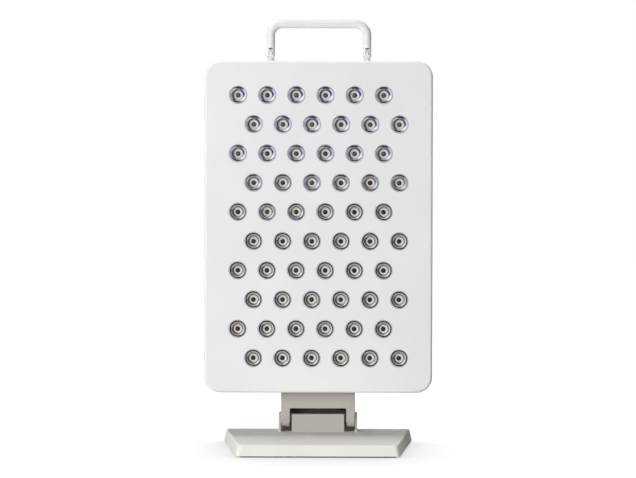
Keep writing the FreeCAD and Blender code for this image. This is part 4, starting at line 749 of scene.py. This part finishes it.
FLOOR_REACH = 12.0
FLOOR_GLOW = 0.975
FLOOR_SEEN = (0.07, 0.07, 0.07, 1)
FLOOR_BOUNCE = (0.22, 0.22, 0.22, 1)
CONTACT_REACH = 0.3
CONTACT_SHADE = 0.52
GLOW_NEAR, GLOW_FAR = 0.3, 1.2
FRONT_BAND = ((-0.10, -0.125, -1), (0.10, 0.0, 1))
FRONT_SOFT = 0.11
FRONT_SHADE = 0.86
floor_finish, floor_graph, floor_shader = new_finish("floor", srgb(242, 242, 242), 0.9)
floor_shader.inputs["Emission Color"].default_value = (1, 1, 1, 1)
from_lamp = add_node(floor_graph, "ShaderNodeVectorMath", {"operation": "LENGTH"},
                     n0=place_on_object(floor_graph)).outputs["Value"]
far_glow = spread(floor_graph, from_lamp, GLOW_NEAR, GLOW_FAR, FLOOR_GLOW, 1.0)
direct = seen_directly(floor_graph)
openness = add_node(floor_graph, "ShaderNodeAmbientOcclusion", {"samples": 8},
                    Distance=CONTACT_REACH).outputs["AO"]
shade = spread(floor_graph, openness, 0.0, 1.0, CONTACT_SHADE, 1.0)
in_front = inside_box(floor_graph, *FRONT_BAND, FRONT_SOFT)
front_shade = spread(floor_graph, in_front, 0.0, 1.0, 1.0, FRONT_SHADE)
shade = multiply(floor_graph, shade, front_shade)
glow = multiply(floor_graph, multiply(floor_graph, direct, far_glow), shade)
floor_graph.links.new(glow, floor_shader.inputs["Emission Strength"])
floor_tone = blend_colours(floor_graph, direct, FLOOR_BOUNCE, FLOOR_SEEN)
floor_graph.links.new(floor_tone, floor_shader.inputs["Base Color"])
floor_mesh = bpy.data.meshes.new("floor")
floor_mesh.from_pydata([(-FLOOR_REACH, -FLOOR_REACH, 0), (FLOOR_REACH, -FLOOR_REACH, 0),
                        (FLOOR_REACH, FLOOR_REACH, 0), (-FLOOR_REACH, FLOOR_REACH, 0)], [], [(0, 1, 2, 3)])
floor_mesh.materials.append(floor_finish)
floor = bpy.data.objects.new("floor", floor_mesh)
bpy.context.scene.collection.objects.link(floor)
print("floor", 2 * FLOOR_REACH, "metres across")

# %% Room
ROOM_LIGHT = 0.03
world = bpy.data.worlds.new("room")
bpy.context.scene.world = world
world.use_nodes = True
room = world.node_tree
room.nodes.clear()
dim = add_node(room, "ShaderNodeBackground", Color=(0.97, 0.98, 1.0, 1), Strength=ROOM_LIGHT)
white = add_node(room, "ShaderNodeBackground", Color=(1, 1, 1, 1), Strength=1.0)
mixed = add_node(room, "ShaderNodeMixShader", n0=seen_directly(room),
                 n1=dim.outputs[0], n2=white.outputs[0])
add_node(room, "ShaderNodeOutputWorld", Surface=mixed.outputs[0])
print("room light", ROOM_LIGHT)

# %% [markdown]
# ## Lamps
#
# Seven soft boxes stand round the object. The key and side boxes are low on
# the left in front, as the shaded right-hand sides of the real lamp show, and a
# box straight in front fills the panel. It is left out of mirrors, where it
# would put a glint in every lens. One box hangs overhead, a little behind, and
# lights the top of the base up to the panel's own shadow, and a weak one stands
# high on the left. The last two stand behind, for whoever walks round the lamp.

# %% Lamps
OBJECT_MIDDLE = (0, 0, 0.18)


def soft_box(name, turn, rise, distance, size, watts, mirrored=True):
    """A square area lamp, `size` and `distance` in metres, that faces the object's middle.

    It stands `turn` degrees left of the camera and `rise` degrees up.
    """
    data = bpy.data.lights.new(name, "AREA")
    data.shape = "SQUARE"
    data.size = size
    data.energy = watts
    lamp = bpy.data.objects.new(name, data)
    left, up = math.radians(turn), math.radians(rise)
    away = (-math.sin(left) * math.cos(up), -math.cos(left) * math.cos(up), math.sin(up))
    lamp.location = [middle + distance * step for middle, step in zip(OBJECT_MIDDLE, away)]
    lamp.rotation_euler = (math.radians(90) - up, 0, -left)
    lamp.visible_camera = False
    lamp.visible_glossy = mirrored
    bpy.context.scene.collection.objects.link(lamp)


soft_box("key", 45, 2, 2.6, 1.0, 43)
soft_box("side", 45, 12, 2.6, 1.0, 12)
soft_box("front", 0, 2, 2.4, 0.6, 19.5, False)
soft_box("above", 180, 83, 2.2, 1.0, 30)
soft_box("high_left", 30, 65, 2.2, 0.9, 3.3)
soft_box("back_left", 145, 22, 2.4, 0.9, 10)
soft_box("back_right", -145, 22, 2.4, 0.9, 4)
bpy.context.scene.view_settings.view_transform = "Standard"
